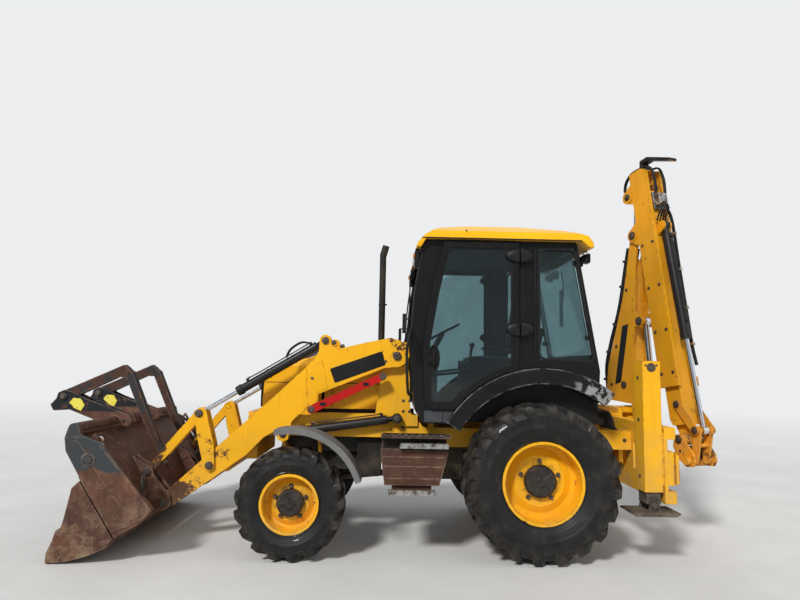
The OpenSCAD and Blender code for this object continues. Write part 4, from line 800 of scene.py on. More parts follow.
def door_trim(tag, out):
    """Seals round the glass, the lock's round recess with its handle, and half of each hinge's oval cover."""
    body = "door_" + tag
    s = Shape()
    frame_strip(s, rounded(door_outline(50), 46), rounded(door_outline(66), 42), out * 800, out * 817)
    s.piece("Door_seal_" + tag, "seal", body, "cab_black", 1.5)
    bowl, dish = ([(-940 + a * c, 1735 + b * d) for c, d in around(40)] for a, b in ((58, 125), (46, 110)))
    frame_strip(s, bowl, dish, out * 808, out * 832)
    s.prism(dish, out * 808, out * 816)
    s.piece("Handle_bowl_" + tag, "trim", body, "cab_black", 2)
    s.tube([(-940, out * 815, 1805), (-938, out * 834, 1790), (-938, out * 838, 1735), (-938, out * 834, 1672),
            (-940, out * 815, 1660)], 11, 12)
    s.rod((-940, out * 814, 1640), (-940, out * 826, 1640), 13, 20, 2)
    s.piece("Handle_" + tag, "trim", body, "cab_black")
    for z in HINGE_Z:
        half_oval(s, -158, -1, z, [out * y for y in (828, 842, 849, 853)])
        s.piece(f"Hinge_cover_{tag}_{z}", "trim", body, "cab_black", 1)
    s.tube([(-1000, out * 800, 1600), (-985, out * 760, 1600), (-900, out * 756, 1590), (-500, out * 756, 1640)],
           13, 12)
    s.piece("Inside_pull_" + tag, "trim", body, "cab_black")


def cab_trim():
    """Pillar halves of the hinge covers, window seals and catches, the front posts' covers, wipers and rails."""
    s = Shape()
    for z in HINGE_Z:
        half_oval(s, -142, 1, z, (808, 838, 846, 850))
        s.box((-120, CAB_FACE - 1, z - 30), (-40, 812, z + 30))
    s.pair("Hinge_covers", "trim", "root", "cab_black", 1)
    frame_strip(s, rounded(QUARTER, 60), rounded(inset_path(QUARTER, 20), 55), 752, 786)
    s.pair("Quarter_seals", "seal", "root", "cab_black", 2)
    s.tube([(480, 786, 1960), (500, 800, 1975), (490, 804, 2080), (470, 786, 2100)], 7, 10)
    s.box((462, CAB_FACE, 1930), (505, 792, 1975))
    s.pair("Quarter_catches", "trim", "root", "cab_black", 1)
    s.prism([(-1150, 1340), (-1128, 1336), (-1128, 1600), (-1130, 1950), (-1098, 2400), (-1020, 2830), (-1048, 2836),
             (-1121, 2402), (-1156, 1951), (-1152, 1600)], 700, 786)
    s.pair("Front_post_covers", "trim", "root", "cab_black", 6)
    for x in (-120, -8):
        s.box((x, CAB_FACE - 1, 1760), (x + 16, 789, 2780))
    s.pair("Pillar_beads", "trim", "root", "cab_black", 3)
    for x0, x1 in ((-1018, -850), (-846, -690)):
        s.box((x0, CAB_FACE - 1, 1160), (x1, 788, 1262))
    s.pair("Sill_panels", "grey_trim", "root", "cab_black", 3)
    s.tube([(-1195, 80, 1462), (-1180, 60, 1800), (-1176, -180, 2150), (-1150, -380, 2430)], 7, 8)
    s.box((-1160, -420, 2180), (-1148, -404, 2560))
    s.rod((-1170, 80, 1470), (-1120, 80, 1470), 22, 20, 3)
    s.piece("Front_wiper", "trim", "root", "cab_black", 1)
    s.tube([(480, 0, 2690), (505, 20, 2500), (530, 150, 2350)], 7, 8)
    s.box((498, 140, 2120), (534, 156, 2520))
    s.piece("Rear_wiper", "trim", "root", "cab_black", 1)
    s.tube([(-1138, 812, 1420), (-1170, 838, 1440), (-1185, 838, 1800), (-1152, 812, 2000)], 13, 12)
    s.pair("Grab_rails", "trim", "root", "cab_black")


def roof_trim():
    """A drip rail round the roof, its plug, and the front corners' turn lamps."""
    s = Shape()
    s.box((-1060, 846, 2846), (430, 853, 2858))
    s.pair("Drip_rails", "seal", "root", "body_yellow", 2)
    s.box((-1118, 682, 2740), (-1086, 718, 2775))
    s.box((-1126, 656, 2588), (-1078, 744, 2742))
    s.pair("Turn_lamp_cases", "trim", "root", "trim_grey", 5)
    s.lathe((-1122, 700, 2700), (-1, 0, 0), [(0, 30), (10, 30), (18, 20), (20, 0)], 28)
    s.pair("Turn_lamps", "amber", "root", "lamp_clear")
    s.rod((-650, -842, 2925), (-650, -848, 2925), 9, 16, 2)
    s.piece("Roof_plug", "seal", "root", "body_yellow")


def oblong(half_w, half_h, r):
    return rounded([(-half_w, -half_h), (half_w, -half_h), (half_w, half_h), (-half_w, half_h)], r, 4)


def lamp(s_case, s_lens, x, y, z, out):
    """One work lamp: a deep round-cornered case on a stirrup, with bars towards the machine's front."""
    s_case.rings([[(x + out * d, y + a, z + b) for a, b in oblong(half_w, half_h, 14)]
                  for d, half_w, half_h in ((-26, 36, 26), (-18, 52, 38), (20, 62, 44), (33, 64, 45))])
    for k in range(5):
        s_case.box((x - 40, y - 40 + k * 18, z - 24), (x - 26, y - 34 + k * 18, z + 24))
    s_case.tube([(x, y - 66, z), (x, y - 69, z + 40), (x, y - 40, z + 62), (x, y, z + 66), (x, y + 40, z + 62),
                 (x, y + 69, z + 40), (x, y + 66, z)], 5, 8, 3)
    s_lens.rings([[(x + out * d, y + a * k, z + b * k) for a, b in oblong(56, 38, 12)]
                  for d, k in ((30, 1), (35, 1), (39, 0.8))])


def lamps():
    case, lens_s = Shape(), Shape()
    for y in (-640, -420, 420, 640):
        lamp(case, lens_s, -1090, y, 2698, -1)
        lamp(case, lens_s, 520, y, 2720, 1)
    body = case.piece("Work_lamp_cases", "trim", "root", "trim_grey", 1.5)
    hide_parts("lamps")
    lens_s.piece("Work_lamp_lenses", "lens", "root", "lamp_clear", 1)


CROWN, PUFF, PULL = 22, 10, 0.08


def cushion(name, place, size, channels):
    """A crowned closed pad whose sides pull in between its corners, with sewn channels across its top."""
    bm = bmesh.new()
    bmesh.ops.create_cube(bm, size=2)
    bmesh.ops.subdivide_edges(bm, edges=bm.edges[:], cuts=15, use_grid_fill=True)
    w, d, h = (v / 2 for v in size)
    for v in bm.verts:
        x, y, z = v.co
        end_x, end_y = abs(x) > 0.99, abs(y) > 0.99
        side = 1 - PULL * (1 - (x if end_y else y) ** 2) * (end_x or end_y)
        top = (1 - x ** 4) * (1 - y ** 4)
        bulge = PUFF * (1 - z * z) * (1 - min(abs(x), abs(y)) ** 2)
        nx = x * w * side + (math.copysign(bulge, x) if end_x else 0)
        ny = y * d * side + (math.copysign(bulge, y) if end_y else 0)
        nz = z * h * (1 - 0.07 * (abs(x) ** 5 + abs(y) ** 5)) + top * (CROWN if z > 0 else -0.2 * PUFF)
        if z > 0.5:
            for c, along in channels:
                t = (x if along else y) - c
                nz -= 9 * math.exp(-(t / 0.045) ** 2) * (1 - (y if along else x) ** 6)
        v.co = (nx, ny, nz)
    s = Shape(place)
    s.bm.free()
    s.bm = bm
    obj = s.piece(name, "cloth", "root", "seat_cloth", angle=80, subdivide=1)
    return obj


def seat():
    """Cushion, back and arm rests on a sprung base, in place of the plain seat."""
    base = cushion("Seat_cushion", Matrix.Translation((-310, 0, 1716)), (470, 460, 90),
                   ((-0.45, 0), (0.45, 0), (0.5, 1)))
    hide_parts("seat")
    lean = Matrix.Rotation(math.radians(8.5), 4, "Y")
    turn = Matrix.Translation((-28, 0, 2060)) @ lean @ Matrix.Rotation(math.radians(-90), 4, "Y")
    cushion("Seat_back", turn, (500, 430, 70), ((-0.45, 0), (0.45, 0), (0.0, 1), (0.45, 1)))
    s = Shape()
    s.box((-520, -200, 1650), (-90, 200, 1672))
    for k in range(9):
        s.lathe((-300, 0, 1480 + k * 19), (0, 0, 1), [(0, 150), (9, 168), (18, 150)], 4)
    s.box((-440, -150, 1173), (-160, 150, 1482))
    s.piece("Seat_base", "trim", "root", "trim_grey", 4)
    s.prism([(-330, 1850), (-60, 1872), (-50, 1905), (-320, 1888), (-345, 1872)], 224, 276)
    s.pair("Arm_rests", "trim", "root", "trim_grey", 10)


def cab_inside():
    """Dash, levers and floor mat as far as they show through the glass."""
    s = Shape()
    s.prism([(-1010, 1640), (-860, 1640), (-840, 1700), (-860, 1780), (-985, 1800), (-1030, 1730)], -210, 210)
    s.piece("Dash_hood", "trim", "root", "trim_grey", 12)
    s.tube([(-905, 60, 1780), (-880, 100, 1860), (-850, 170, 1875)], 8, 8)
    s.tube([(150, 330, 1700), (150, 330, 1850), (175, 330, 1990)], 10, 8)
    s.lathe((175, 330, 1980), (0.1, 0, 1), [(0, 14), (20, 27), (70, 24), (86, 10)], 20)
    s.mirrored()
    for y in (400, 460, 520):
        s.tube([(-420, y, 1730), (-430, y, 1800), (-415, y, 1900)], 8, 8)
        s.lathe((-415, y, 1885), (0, 0, 1), [(0, 10), (12, 21), (36, 22), (48, 12)], 20)
    s.piece("Levers", "trim", "root", "trim_grey", 1)
    s.box((-860, -560, 1172.5), (-600, 560, 1180))
    for k in range(24):
        s.box((-850, -550 + k * 46, 1180), (-610, -530 + k * 46, 1184))
    s.piece("Floor_mat", "seal", "root", "trim_grey", 1)
    s.box((-1010, -690, 2796), (380, 690, 2812))
    s.piece("Headlining", "grey_trim", "root", "trim_grey", 6)


def mirror_trim():
    s = Shape()
    ring = rounded([(1004, 1956), (1106, 1956), (1106, 2109), (1004, 2109)], 22)
    s.rings([[(x, a, b) for a, b in ring] for x in (-1204, -1202)])
    s.pair("Mirror_glass", "mirror", "root", "trim_grey")


# Loader

ARM_IN, ARM_OUT, LEVER_OUT = 480, 560, 586
RAM_Y, CLAM_RAM_Y, BUCKET_SIDE, CLAM_SIDE, FORK_Y = 520, 1059, 1171, 1170, 350
LIFT_PIN, TILT_PIN, LEVER_TOP, STRUT_PIN = (-2330, 1010), (-1956, 1890), (-3110, 1187), (-2062, 1243)


def pin_head(s, x, y, z, r):
    """A pin's end: collar, keeper bolt and grease nipple."""
    s.stud((x, y, z), r + 9, 5, r, 16)
    s.lathe((x, y + 16, z), (0, 1, 0), [(0, 5), (5, 5), (8, 3), (10, 3.5), (12, 2)], 12)


def arm_trim():
    """Pin ends, the blank black plates, weld beads, the raised front section and pipes on the loader arms."""
    s = Shape()
    pin_head(s, TILT_PIN[0], ARM_OUT + 10, TILT_PIN[1], 26)
    pin_head(s, -1876, ARM_OUT, 1872, 16)
    pin_head(s, LIFT_PIN[0], ARM_OUT + 10, LIFT_PIN[1], 26)
    pin_head(s, LIFT_PIN[0], ARM_OUT + 5, LIFT_PIN[1], 24)
    for x, z, r, h in ((-2070, 1532, 15, 14), (-2058, 1250, 12, 12), (-1376, 1702, 9, 9)):
        s.bolt((x, ARM_OUT, z), (0, 1, 0), r, h)
    s.pair("Arm_pins", "pin", "loader_arms", "body_yellow", 1)
    s.prism(rounded([(-1906, 1622), (-1854, 1488), (-1376, 1668), (-1412, 1800)], 12, 3), ARM_OUT - 1, ARM_OUT + 1.6)
    s.pair("Blank_plates", "trim", "loader_arms", "trim_grey", 0.5)
    s.tube([(x, ARM_OUT, z) for x, z in ((-2128, 1624), (-2122, 1420), (-2108, 1270), (-2250, 1130))], 5, 8)
    s.tube([(-3410, ARM_OUT, 430), (-3150, ARM_OUT, 645)], 3, 8)
    s.pair("Arm_welds", "arm", "loader_arms", "body_yellow")
    s.prism([(-2120, 1610), (-2100, 1270), (-2050, 1225), (-2018, 1262), (-2016, 1396), (-1920, 1440), (-1980, 1700)],
            ARM_OUT - 1, ARM_OUT + 5)
    s.pair("Arm_gussets", "arm", "loader_arms", "body_yellow", 2)
    for run in (((-1320, 1800), (-1700, 1690), (-2060, 1500), (-2430, 1180), (-2700, 960)),
                ((-1330, 1770), (-1710, 1660), (-2060, 1470), (-2430, 1150), (-2710, 930))):
        s.tube([(x, ARM_IN - 16, z) for x, z in run], 8, 8)
    s.pair("Arm_pipes", "barrel", "loader_arms", "barrel_black")
    for x, z in ((-1700, 1675), (-2060, 1485), (-2430, 1165)):
        s.box((x - 16, ARM_IN - 26, z - 34), (x + 16, ARM_IN + 1, z + 34))
    s.pair("Arm_pipe_clamps", "zinc", "loader_arms", "barrel_black", 2)


def lever_trim():
    s = Shape()
    pin_head(s, -2992, LEVER_OUT + 8, 713, 28)
    pin_head(s, LEVER_TOP[0], LEVER_OUT + 6, LEVER_TOP[1], 28)
    s.pair("Lever_pins", "pin", "tilt_lever", "body_yellow", 1)
    pin_head(s, -3395, LEVER_OUT + 10, 376, 30)
    pin_head(s, -3560, LEVER_OUT + 10, 650, 30)
    s.pair("Bucket_pins", "pin", "bucket", "rusty_steel", 1)


def ram_trim(name, place, p, q, r, long, body, y=0.0, ports=(140, 0.86), up=(0, 0, 1)):
    """Gland, weld ring, port blocks and the steel pipe along one ram's barrel."""
    p, q = Vector((p[0], y, p[1])), Vector((q[0], y, q[1]))
    d = (q - p).normalized()
    up = Vector(up)
    up = (up - d * up.dot(d)).normalized()
    s = Shape(place)
    s.lathe(p + d * (long - 60), d, [(0, r), (2, r + 7), (34, r + 7), (38, r + 4), (58, r + 4), (60, r - 6)], 36)
    for a in range(6):
        turn = Matrix.Rotation(math.radians(60 * a), 3, d)
        s.rod(p + d * (long - 50) + turn @ up * (r + 5), p + d * (long - 50) + turn @ up * (r + 9), 5, 8)
    s.lathe(p + d * 94, d, [(0, r - 4), (4, r + 3), (12, r + 3), (16, r)], 36, hollow=True)
    ends = (ports[0], long * ports[1])
    for a in ends:
        s.rod(p + d * a + up * (r - 4), p + d * a + up * (r + 22), 15, 16, 2)
    s.piece(name + "_gland", "barrel", body, "barrel_black", 1)
    a, b = p + d * ends[0] + up * (r + 20), p + d * (ends[1] - 4) + up * (r + 20)
    s.tube([b, b - d * 30 + up * 2, b - d * 60 - up * 4, a + d * 60 - up * 4, a + d * 22 + up * 3, a], 6, 8)
    for t in (0.3, 0.7):
        m = p + d * (ends[0] + (ends[1] - ends[0]) * t)
        s.lathe(m - d * 8, d, [(0, r), (0.5, r + 2.5), (15.5, r + 2.5), (16, r)], 36, hollow=True)
    s.piece(name + "_pipe", "barrel", body, "barrel_black")


def loader_rams():
    for tag, side in SIDES:
        y = side * RAM_Y
        ram_trim("Lift_ram_" + tag, None, (-1259, 1168), LIFT_PIN, 42, 930, "lift_barrel", y)
        ram_trim("Tilt_ram_" + tag, None, TILT_PIN, LEVER_TOP, 42, 960, "tilt_barrel", y)
        ram_trim("Clam_ram_" + tag, None, (-3430, 430), (-3800, 985), 20, 425, "clam_barrel", side * CLAM_RAM_Y,
                 (120, 0.8), (1, 0, 0.3))
    s = Shape()
    for e in (-1, 1):
        s.tube([(x, RAM_Y + e * n, z) for x, n, z in ((-2090, 26, 1858), (-2190, 30, 1868), (-2290, 20, 1800),
                                                      (-2330, 10, 1722))], 9, 8)
    s.pair("Tilt_ram_hoses", "hose", "tilt_barrel", "barrel_black")


def strut_trim():
    """Pins and clips of the red safety strut."""
    s = Shape()
    y = -(ARM_OUT + 62)
    for (x, z), r in ((STRUT_PIN, 24), ((-1400, 1560), 26)):
        s.lathe((x, y, z), (0, -1, 0), [(-1, r + 8), (3, r + 8), (3, r), (12, r - 2), (12, 0)], 32)
    s.piece("Strut_pins", "pin", "loader_arms", "strut_red", 1)
    along = Vector((662, 317)).normalized()
    for t in (120, 560):
        x, z = Vector(STRUT_PIN) + along * t
        s.box((x - 26, y - 4, z - 15), (x + 26, y + 1, z + 15))
    s.piece("Strut_clips", "seal", "loader_arms", "strut_red", 1)


def bucket_trim():
    """Pivot bosses, weld beads, the wear strips and the tags on the fork arms."""
    s = Shape()
    s.lathe((-3827, BUCKET_SIDE, 836), (0, 1, 0), [(0, 62), (4, 62), (4, 50), (11, 48), (11, 30), (15, 27), (15, 0)],
            40)
    s.pair("Clam_bosses", "bucket", "clam", "rusty_steel", 1)
    for r, run in ((5, ((-3600, 260), (-3430, 330), (-3305, 440), (-3480, 650), (-3740, 960))),
                   (4, ((-3985, 995), (-3900, 960), (-3720, 700), (-3560, 500), (-3420, 400)))):
        s.tube([(x, BUCKET_SIDE, z) for x, z in run], r, 8, 4)
    s.pair("Bucket_welds", "bucket", "bucket", "rusty_steel")
    for y, y0 in ((-CLAM_SIDE, -CLAM_SIDE - 8), (CLAM_SIDE, CLAM_SIDE)):
        s.prism([(-4112, 10), (-4000, 24), (-3990, 52), (-4066, 150), (-4112, 84)], y0, y0 + 8)
        for r, run in ((6, ((-4108, 12), (-3960, 26), (-3764, 80), (-3640, 134))),
                       (4, ((-4050, 255), (-4004, 296), (-3940, 612)))):
            s.tube([(x, y, z) for x, z in run], r, 8, 4)
    s.piece("Clam_edges", "bucket", "clam", "rusty_steel", 1)
    for y in range(-900, 901, 300):
        s.box((-4060, y - 40, 42), (-3985, y + 40, 58))
    s.piece("Edge_blocks", "bucket", "clam", "rusty_steel", 3)
    tag = [(-4408, 1250), (-4374, 1296), (-4300, 1292), (-4258, 1232), (-4290, 1172), (-4356, 1200)]
    for y in (-FORK_Y, FORK_Y):
        s.prism(tag, y - 65, y - 62)
    s.piece("Fork_arm_tags", "tag", "bucket", "rusty_steel", 0.5)
    for e in (-1, 1):
        s.stud((-4466, FORK_Y + e * 73, 1312), 33, 4, 23, 16, n=32, side=e)
        s.bolt((-3880, FORK_Y + e * 63, 1092), (0, e, 0), 14, 12)
    s.pair("Fork_pins", "pin", "bucket", "rusty_steel", 1)
    for k in range(2):
        s.tube([(-3560 + 20 * k, 700, 560), (-3520, 760 + 40 * k, 640), (-3480, 860 + 40 * k, 640),
                (-3440, 960 + 30 * k, 560), (-3430, 1015, 500)], 9, 8)
    s.pair("Clam_hoses", "hose", "bucket", "barrel_black")


def fork_trim():
    s = Shape()
    for tag, side in SIDES:
        y = side * FORK_Y
        s.box((-3925, y - 30, 1570), (-3880, y + 30, 1600))
        s.tube([(-3925, y + 42, 1600), (-3870, y + 42, 1560), (-3850, y + 42, 1510)], 5, 8)
        s.piece("Fork_heel_" + tag, "fork", "fork_" + tag, "fork_steel", 3)


# Chassis

def step_trim():
    """Serrated bright edges of the steps, the tanks' ribs and their filler caps."""
    s = Shape()
    for x0, x1, z in ((-1234, -824, 1000), (-1324, -930, 612)):
        n = int((x1 - x0) / 16)
        teeth = [(x0 + (x1 - x0) * i / n + a, z + 2 * a) for i in range(n) for a in (0, 8)]
        s.prism([(x0, z - 34)] + teeth + [(x1, z), (x1, z - 34)], 1116, 1121)
    s.pair("Step_teeth", "steel", "root", "step_brown")
    for z in (700, 800, 880):
        up = z - 650
        s.box((-1351 - up * 35 / 266, 1059, z), (-909 + up * 0.28, 1064, z + 12))
    s.pair("Tank_ribs", "box_brown", "root", "step_brown", 2)
    s.lathe((-1330, 700, 947), (0, 0, 1), [(0, 40), (14, 40), (14, 52), (44, 52), (48, 46), (48, 0)], 32)
    s.pair("Filler_caps", "trim", "root", "trim_grey", 2)


def chassis_trim():
    """Bolts along the rails, tower pins, hoses to the axle and the lift rams, the steering ram and axle bolts."""
    s = Shape()
    for x in (-2560, -2440, -1200, -1060, -300, -120, 60, 940):
        s.bolt((x, 450, 1080 if x < -1100 else 990), (0, 1, 0), 13, 12)
    for x in (-1200, -1140):
        for z in (1230, 1330):
            s.bolt((x, 476, z), (0, 1, 0), 10, 10)
    s.pair("Frame_bolts", "pin", "root", "frame_black", 0.5)
    pin_head(s, -1270, 573, 1756, 32)
    pin_head(s, -1259, 567, 1168, 25)
    s.pair("Tower_pins", "pin", "root", "body_yellow", 1)
    for k in range(3):
        y = 300 + 26 * k
        s.tube([(-1560, y, 1130), (-1480, y, 1060), (-1380, y, 1040 - 10 * k), (-1250, y, 1050), (-1120, y, 1120)],
               11, 8)
    s.tube([(-2130, 60, 620), (-2040, 90, 700), (-1900, 120, 720), (-1700, 140, 760), (-1560, 160, 850)], 9, 8)
    s.pair("Frame_hoses", "hose", "root", "barrel_black")
    x = FRONT_X + 118
    s.rod((x, -430, 500), (x, 430, 500), 34, 28, 3)
    s.rod((x, -560, 500), (x, 560, 500), 14, 20)
    for y in (-240, 240):
        s.box((x - 58, y - 20, 470), (x + 12, y + 20, 530))
    s.piece("Steering_ram", "barrel", "root", "frame_black", 1)
    for x in (-560, -200):
        s.lathe((x, 0, 680), (1, 0, 0), [(0, 40), (4, 62), (18, 62), (22, 40)], 24)
    s.piece("Shaft_flanges", "frame_black", "root", "frame_black")
    for c, d in around(10):
        s.bolt((95 * c, 642, REAR_R + 95 * d), (0, 1, 0), 10, 9)
    s.pair("Axle_bolts", "frame_black", "root", "frame_black")


def belly_trim():
    """The engine's sump, the tanks beside it, and the walls inside the rear arches."""
    s = Shape()
    s.prism([(-1640, 960), (-1630, 650), (-1600, 600), (-1440, 600), (-1400, 640), (-1400, 960)], 225, 375)
    for x in (-1980, -1800, -1640):
        s.bolt((x, 214, 790), (0, 1, 0), 9, 8)
    s.mirrored().prism([(-2080, 830), (-2040, 700), (-1900, 640), (-1560, 640), (-1500, 830)], -215, 215)
    s.piece("Sump", "sump", "root", "engine_grey", 8)
    edge = [(73 + 892 * math.cos(math.radians(a)), 627 + 892 * math.sin(math.radians(a))) for a in range(54, 140, 6)]
    s.prism(edge + [(-640, 1180), (640, 1180)], 640, 648)
    s.pair("Arch_liners", "trim", "root", "fender_black")


def valve_trim():
    """The rear arm's spool valves between the arches, with their ports and hoses."""
    s = Shape()
    s.box((610, -250, 1180), (760, 250, 1330))
    s.box((590, -285, 1120), (800, 285, 1180))
    for y in range(-210, 211, 70):
        s.rod((685, y, 1329), (685, y, 1392), 24, 20, 3)
        s.rod((759, y, 1255), (812, y, 1255), 17, 16, 2)
    s.piece("Spool_valves", "iron", "root", "engine_grey", 3)
    for y in range(-210, 211, 70):
        s.tube([(800, y, 1255), (868, y * 1.02, 1240), (905, y * 1.05, 1180), (925, y * 1.1, 1090),
                (960, y * 1.1, 1060)], 12, 10)
        s.tube([(685, y, 1380), (680, y, 1440), (600, y * 0.96, 1460), (540, y * 0.9, 1400), (520, y * 0.85, 1280)],
               9, 10)
    s.piece("Spool_hoses", "hose", "root", "barrel_black")


def leg_trim():
    """Ring and bolts at the top pins, the wear adjusters, rear lamps, and the feet's pins."""
    s = Shape()
    s.lathe((917, 1140, 1690), (0, 1, 0), [(0, 38), (4, 38), (4, 30), (12, 29), (12, 17), (16, 15), (16, 0)], 36)
    for x in (870, 964):
        s.bolt((x, 1140, 1708), (0, 1, 0), 7, 6)
    for z in (760, 1240, 1600):
        for x, way in ((839, -1), (995, 1)):
            s.bolt((x, 1045, z), (way, 0, 0), 11, 10)
    s.pair("Leg_pins", "pin", "root", "body_yellow", 1)
    s.prism([(1112, 700), (1140, 712), (1140, 940), (1112, 975)], 1055, 1135)
    s.pair("Rear_lamp_cases", "yellow_low", "root", "body_yellow", 4)
    for name, mat, z0, z1 in (("Rear_lamps", "ruby", 730, 820), ("Rear_turn_lamps", "amber", 828, 890)):
        s.box((1138, 1064, z0), (1146, 1126, z1))
        s.pair(name, mat, "root", "lamp_clear", 3)
    for tag, side in SIDES:
        s.lathe((917, side * 1156, 531), (0, side, 0), [(0, 34), (6, 34), (6, 24), (16, 22), (16, 12), (19, 0)], 32)
        s.piece("Foot_pin_" + tag, "pin", "leg_" + tag, "leg_grey", 1)


# Backhoe

POST_FACE, BOOM_FACE, DIPPER_FACE = 130, 98, 124
BOOM_HOSE_Y = 68
TOP_HOSE_Y = 112


def post_trim():
    s = Shape(HOE)
    s.stud((250, POST_FACE, 980), 50, 8, 38, 20, 3)
    s.stud((450, POST_FACE, 640), 42, 8, 30, 20, 3)
    s.pair("Post_pins", "pin", "kingpost", "body_yellow", 1)
    for n in (50, 66, 82):
        s.tube([(40, n, 640), (110, n, 760), (110, n, 900), (60, n, 1010)], 10, 8)
    s.pair("Post_hoses", "hose", "kingpost", "barrel_black")


def boom_trim():
    """Pin ends, cross bolts, blank plates, and the hose runs with their clamps."""
    s = Shape(HOE)
    s.stud((300, BOOM_FACE, 2200), 46, 6, 32, 22, 3)
    s.stud((50, BOOM_FACE, 1500), 42, 6, 28, 22, 3)
    for x, z in ((120, 2560), (-60, 1930), (-150, 1500), (215, 1240)):
        s.bolt((x, BOOM_FACE, z), (0, 1, 0), 14, 12)
    s.pair("Boom_pins", "pin", "boom", "body_yellow", 1)
    s.prism(rounded([(-92, 1500), (6, 1530), (140, 2180), (42, 2160)], 14, 3), BOOM_FACE, BOOM_FACE + 1.6)
    s.pair("Boom_blank_plates", "trim", "boom", "trim_grey", 0.5)
    back = [(-215, 1420), (-230, 1700), (-150, 1980), (-25, 2300), (40, 2520), (95, 2760), (165, 3040)]
    for k in range(3):
        s.tube([(x - 12 - 19 * k, BOOM_HOSE_Y, z) for x, z in back], 9, 8)
    s.pair("Boom_hoses", "hose", "boom", "barrel_black")
    for x, z, a in ((-236, 1560, -4), (-185, 1860, 16), (-70, 2170, 22), (55, 2600, 14), (120, 2880, 14)):
        turn = Matrix.Translation((x, 0, z)) @ Matrix.Rotation(math.radians(a), 4, "Y")
        s.box((-62, BOOM_HOSE_Y - 9, -14), (4, BOOM_HOSE_Y + 22, 14), turn)
    s.pair("Boom_hose_clamps", "frame_black", "boom", "barrel_black", 2)


def dipper_trim():
    """Pivot rings, the valve block, hoses over the top and the bolts of the wear pads."""
    s = Shape(DIPPER)
    s.stud((0, DIPPER_FACE + 8, 0), 46, 6, 32, 20, 3)
    s.stud((-454, DIPPER_FACE + 10, 14), 40, 5, 27, 18)
    for a in (160, 640, 1120, 1560):
        for b in (120, 270):
            s.bolt((a, DIPPER_FACE, b), (0, 1, 0), 12, 11)
    s.pair("Dipper_pins", "pin", "dipper", "body_yellow", 1)
    s.box((-360, -60, 322), (-230, 40, 402))
    s.box((-345, -40, 402), (-245, 20, 424))
    s.box((-400, -70, 300), (-200, 70, 322))
    s.piece("Valve_block", "steel", "dipper", "rod_chrome", 4)
    for n in (70, 90):
        s.tube([(-525, n, -44), (-575, n, -58), (-660, n, -20), (-720, n, 80), (-726, n * 0.9, 210),
                (-690, n * 0.8, 330), (-560, n * 0.8, 372), (-440, n * 0.8, 372), (-360, n * 0.8, 360)], 9.5, 8)
    s.mirrored()
    for n in (-48, -22, 4, 30):
        s.tube([(-240, n, 400), (-180, n * 1.2, 405), (-120, n * 1.3, 352), (-60, n * 1.5, 325)], 9, 8)
    for k in range(2):
        up = 20 * k
        s.tube([(-230, 60 + 14 * k, 350), (-60, 108, 344 + up), (400, TOP_HOSE_Y, 336 + up),
                (900, TOP_HOSE_Y, 334 + up), (1300, TOP_HOSE_Y, 334 + up), (1500, 100, 360 + up)], 9, 8)
    s.piece("Dipper_hoses", "hose", "dipper", "barrel_black")
    for a in (80, 480, 900, 1280):
        s.box((a - 14, 98, 309), (a + 14, 128, 372))
    s.piece("Dipper_hose_clamps", "zinc", "dipper", "barrel_black", 2)


def nose_trim():
    s = Shape(DIPPER)
    for name, body, a, b in (("Nose", "inner_dipper", 1880, 240), ("Tip_lever", "tip_lever", 2145, 412)):
        s.stud((a, 117, b), 36, 5, 26, 14, n=32)
        s.pair(name + "_pins", "pin", body, "body_yellow", 1)
    s.stud((2220, 154, 235), 40, 5, 27, 14, n=32)
    for a, b in ((2330, 230), (2420, 340)):
        s.bolt((a, 147, b), (0, 1, 0), 10, 9)
    s.pair("Hitch_pins", "pin", "hitch", "body_yellow", 1)


def hoe_rams():
    tip = (TIP.x - 454 * math.sin(LEAN) + 14 * math.cos(LEAN), TIP.z + 454 * math.cos(LEAN) + 14 * math.sin(LEAN))
    ram_trim("Boom_ram", HOE, (450, 640), (300, 2200), 60, 880, "boom_barrel", up=(1, 0, 0))
    ram_trim("Dipper_ram", HOE, (50, 1500), tip, 50, 1250, "dipper_barrel", up=(1, 0, 0))
    ram_trim("Bucket_ram", DIPPER, (0, 353), (2145, 412), 48, 1240, "bucket_barrel")


# Floor, light and camera

CAMERA_AT = (0.001, -6.345, 1.659)
YAW, PITCH, ROLL = math.radians(0.947), math.radians(6.26), math.radians(1.106)
FOCAL_PX = 603.86
FRAME_PX = 800
SENSOR = 36.0
PALE = (0.84, 0.85, 0.86)
FLOOR_R = 60


def camera():
    f = Vector((math.sin(YAW) * math.cos(PITCH), math.cos(YAW) * math.cos(PITCH), math.sin(PITCH)))
    level = Vector((math.cos(YAW), -math.sin(YAW), 0))
    up = level.cross(f)
    right = level * math.cos(ROLL) + up * math.sin(ROLL)
    up = up * math.cos(ROLL) - level * math.sin(ROLL)
    data = bpy.data.cameras.new("Camera")
    data.lens = FOCAL_PX / FRAME_PX * SENSOR
    data.sensor_width = SENSOR
    obj = placed("Camera", data)
    obj.matrix_world = Matrix.Translation(CAMERA_AT) @ Matrix((right, up, -f)).transposed().to_4x4()
    bpy.context.scene.camera = obj


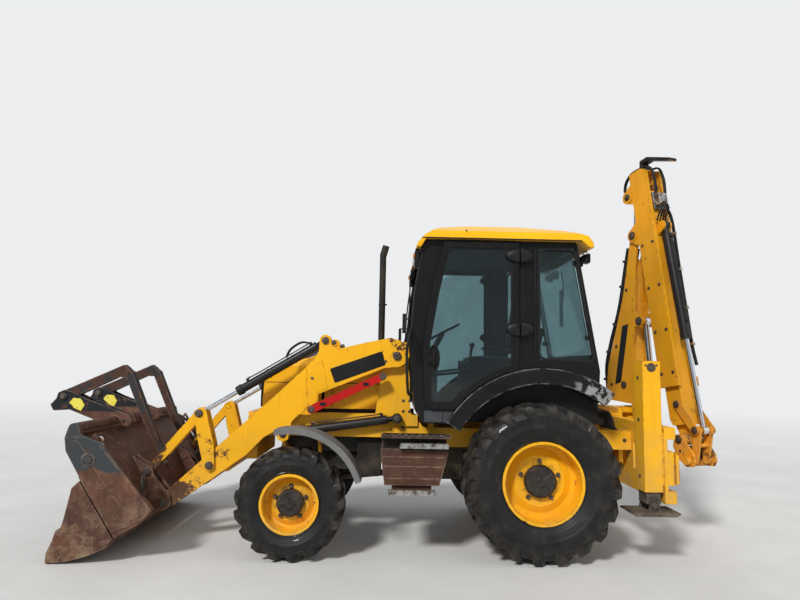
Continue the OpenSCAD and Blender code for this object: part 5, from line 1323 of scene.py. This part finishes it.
def stage():
    """A pale floor that fades into the pale world that the camera sees, with soft light."""
    world = bpy.data.worlds.new("Studio")
    bpy.context.scene.world = world
    world.use_nodes = True
    t = world.node_tree
    t.nodes.clear()
    seen, light, path, either, mix, out = (t.nodes.new("ShaderNode" + kind) for kind in (
        "Background", "Background", "LightPath", "Math", "MixShader", "OutputWorld"))
    seen.inputs[0].default_value = (*PALE, 1)
    light.inputs[0].default_value = (0.86, 0.93, 1.0, 1)
    light.inputs[1].default_value = 0.42
    either.operation = "MAXIMUM"
    for a, b in ((path.outputs["Is Camera Ray"], either.inputs[0]),
                 (path.outputs["Is Transmission Ray"], either.inputs[1]), (either.outputs[0], mix.inputs[0]),
                 (light.outputs[0], mix.inputs[1]), (seen.outputs[0], mix.inputs[2]),
                 (mix.outputs[0], out.inputs[0])):
        t.links.new(a, b)

    bm = bmesh.new()
    bmesh.ops.create_circle(bm, cap_ends=True, segments=64, radius=FLOOR_R)
    mesh = bpy.data.meshes.new("Floor")
    bm.to_mesh(mesh)
    bm.free()
    floor = placed("Floor", mesh)
    f = Finish("Floor", 0.9)
    f.set("Base Color", f.mix(f.span(f.noise(0.8, 6, 0.7), 0.35, 0.65), (0.60, 0.585, 0.56), (0.66, 0.645, 0.62)))
    f.set("Specular IOR Level", 0.1)
    away = f.node("ShaderNodeVectorMath", {0: f.coord}, operation="LENGTH").outputs["Value"]
    glow = f.node("ShaderNodeEmission", {"Color": PALE})
    blend = f.node("ShaderNodeMixShader", {0: f.span(away, 7, 24)})
    f.put(blend.inputs[1], f.bsdf.outputs[0])
    f.put(blend.inputs[2], glow.outputs[0])
    f.put(f.out.inputs[0], blend.outputs[0])
    mesh.materials.append(f.mat)

    for name, energy, angle, turn in (("Key", 2.9, 9, (52, 0, -28)), ("Fill", 0.5, 60, (60, 0, 60)),
                                      ("Back", 0.5, 60, (55, 0, 190))):
        data = bpy.data.lights.new(name, "SUN")
        data.energy = energy
        data.angle = math.radians(angle)
        placed(name, data).rotation_euler = [math.radians(a) for a in turn]
    bpy.context.scene.view_settings.view_transform = "Standard"


def build():
    camera()
    stage()
    dress()
    for which in WHEELS:
        tyre(which)
        hub(which)
    hood_trim()
    exhaust_trim()
    for tag, out in SIDES:
        door_trim(tag, out)
    for trim in (cab_trim, roof_trim, lamps, seat, cab_inside, mirror_trim, arm_trim, lever_trim, loader_rams,
                 strut_trim, bucket_trim, fork_trim, step_trim, chassis_trim, belly_trim, valve_trim, leg_trim,
                 post_trim, boom_trim, dipper_trim, nose_trim, hoe_rams):
        trim()


build()
bpy.context.view_layer.update()
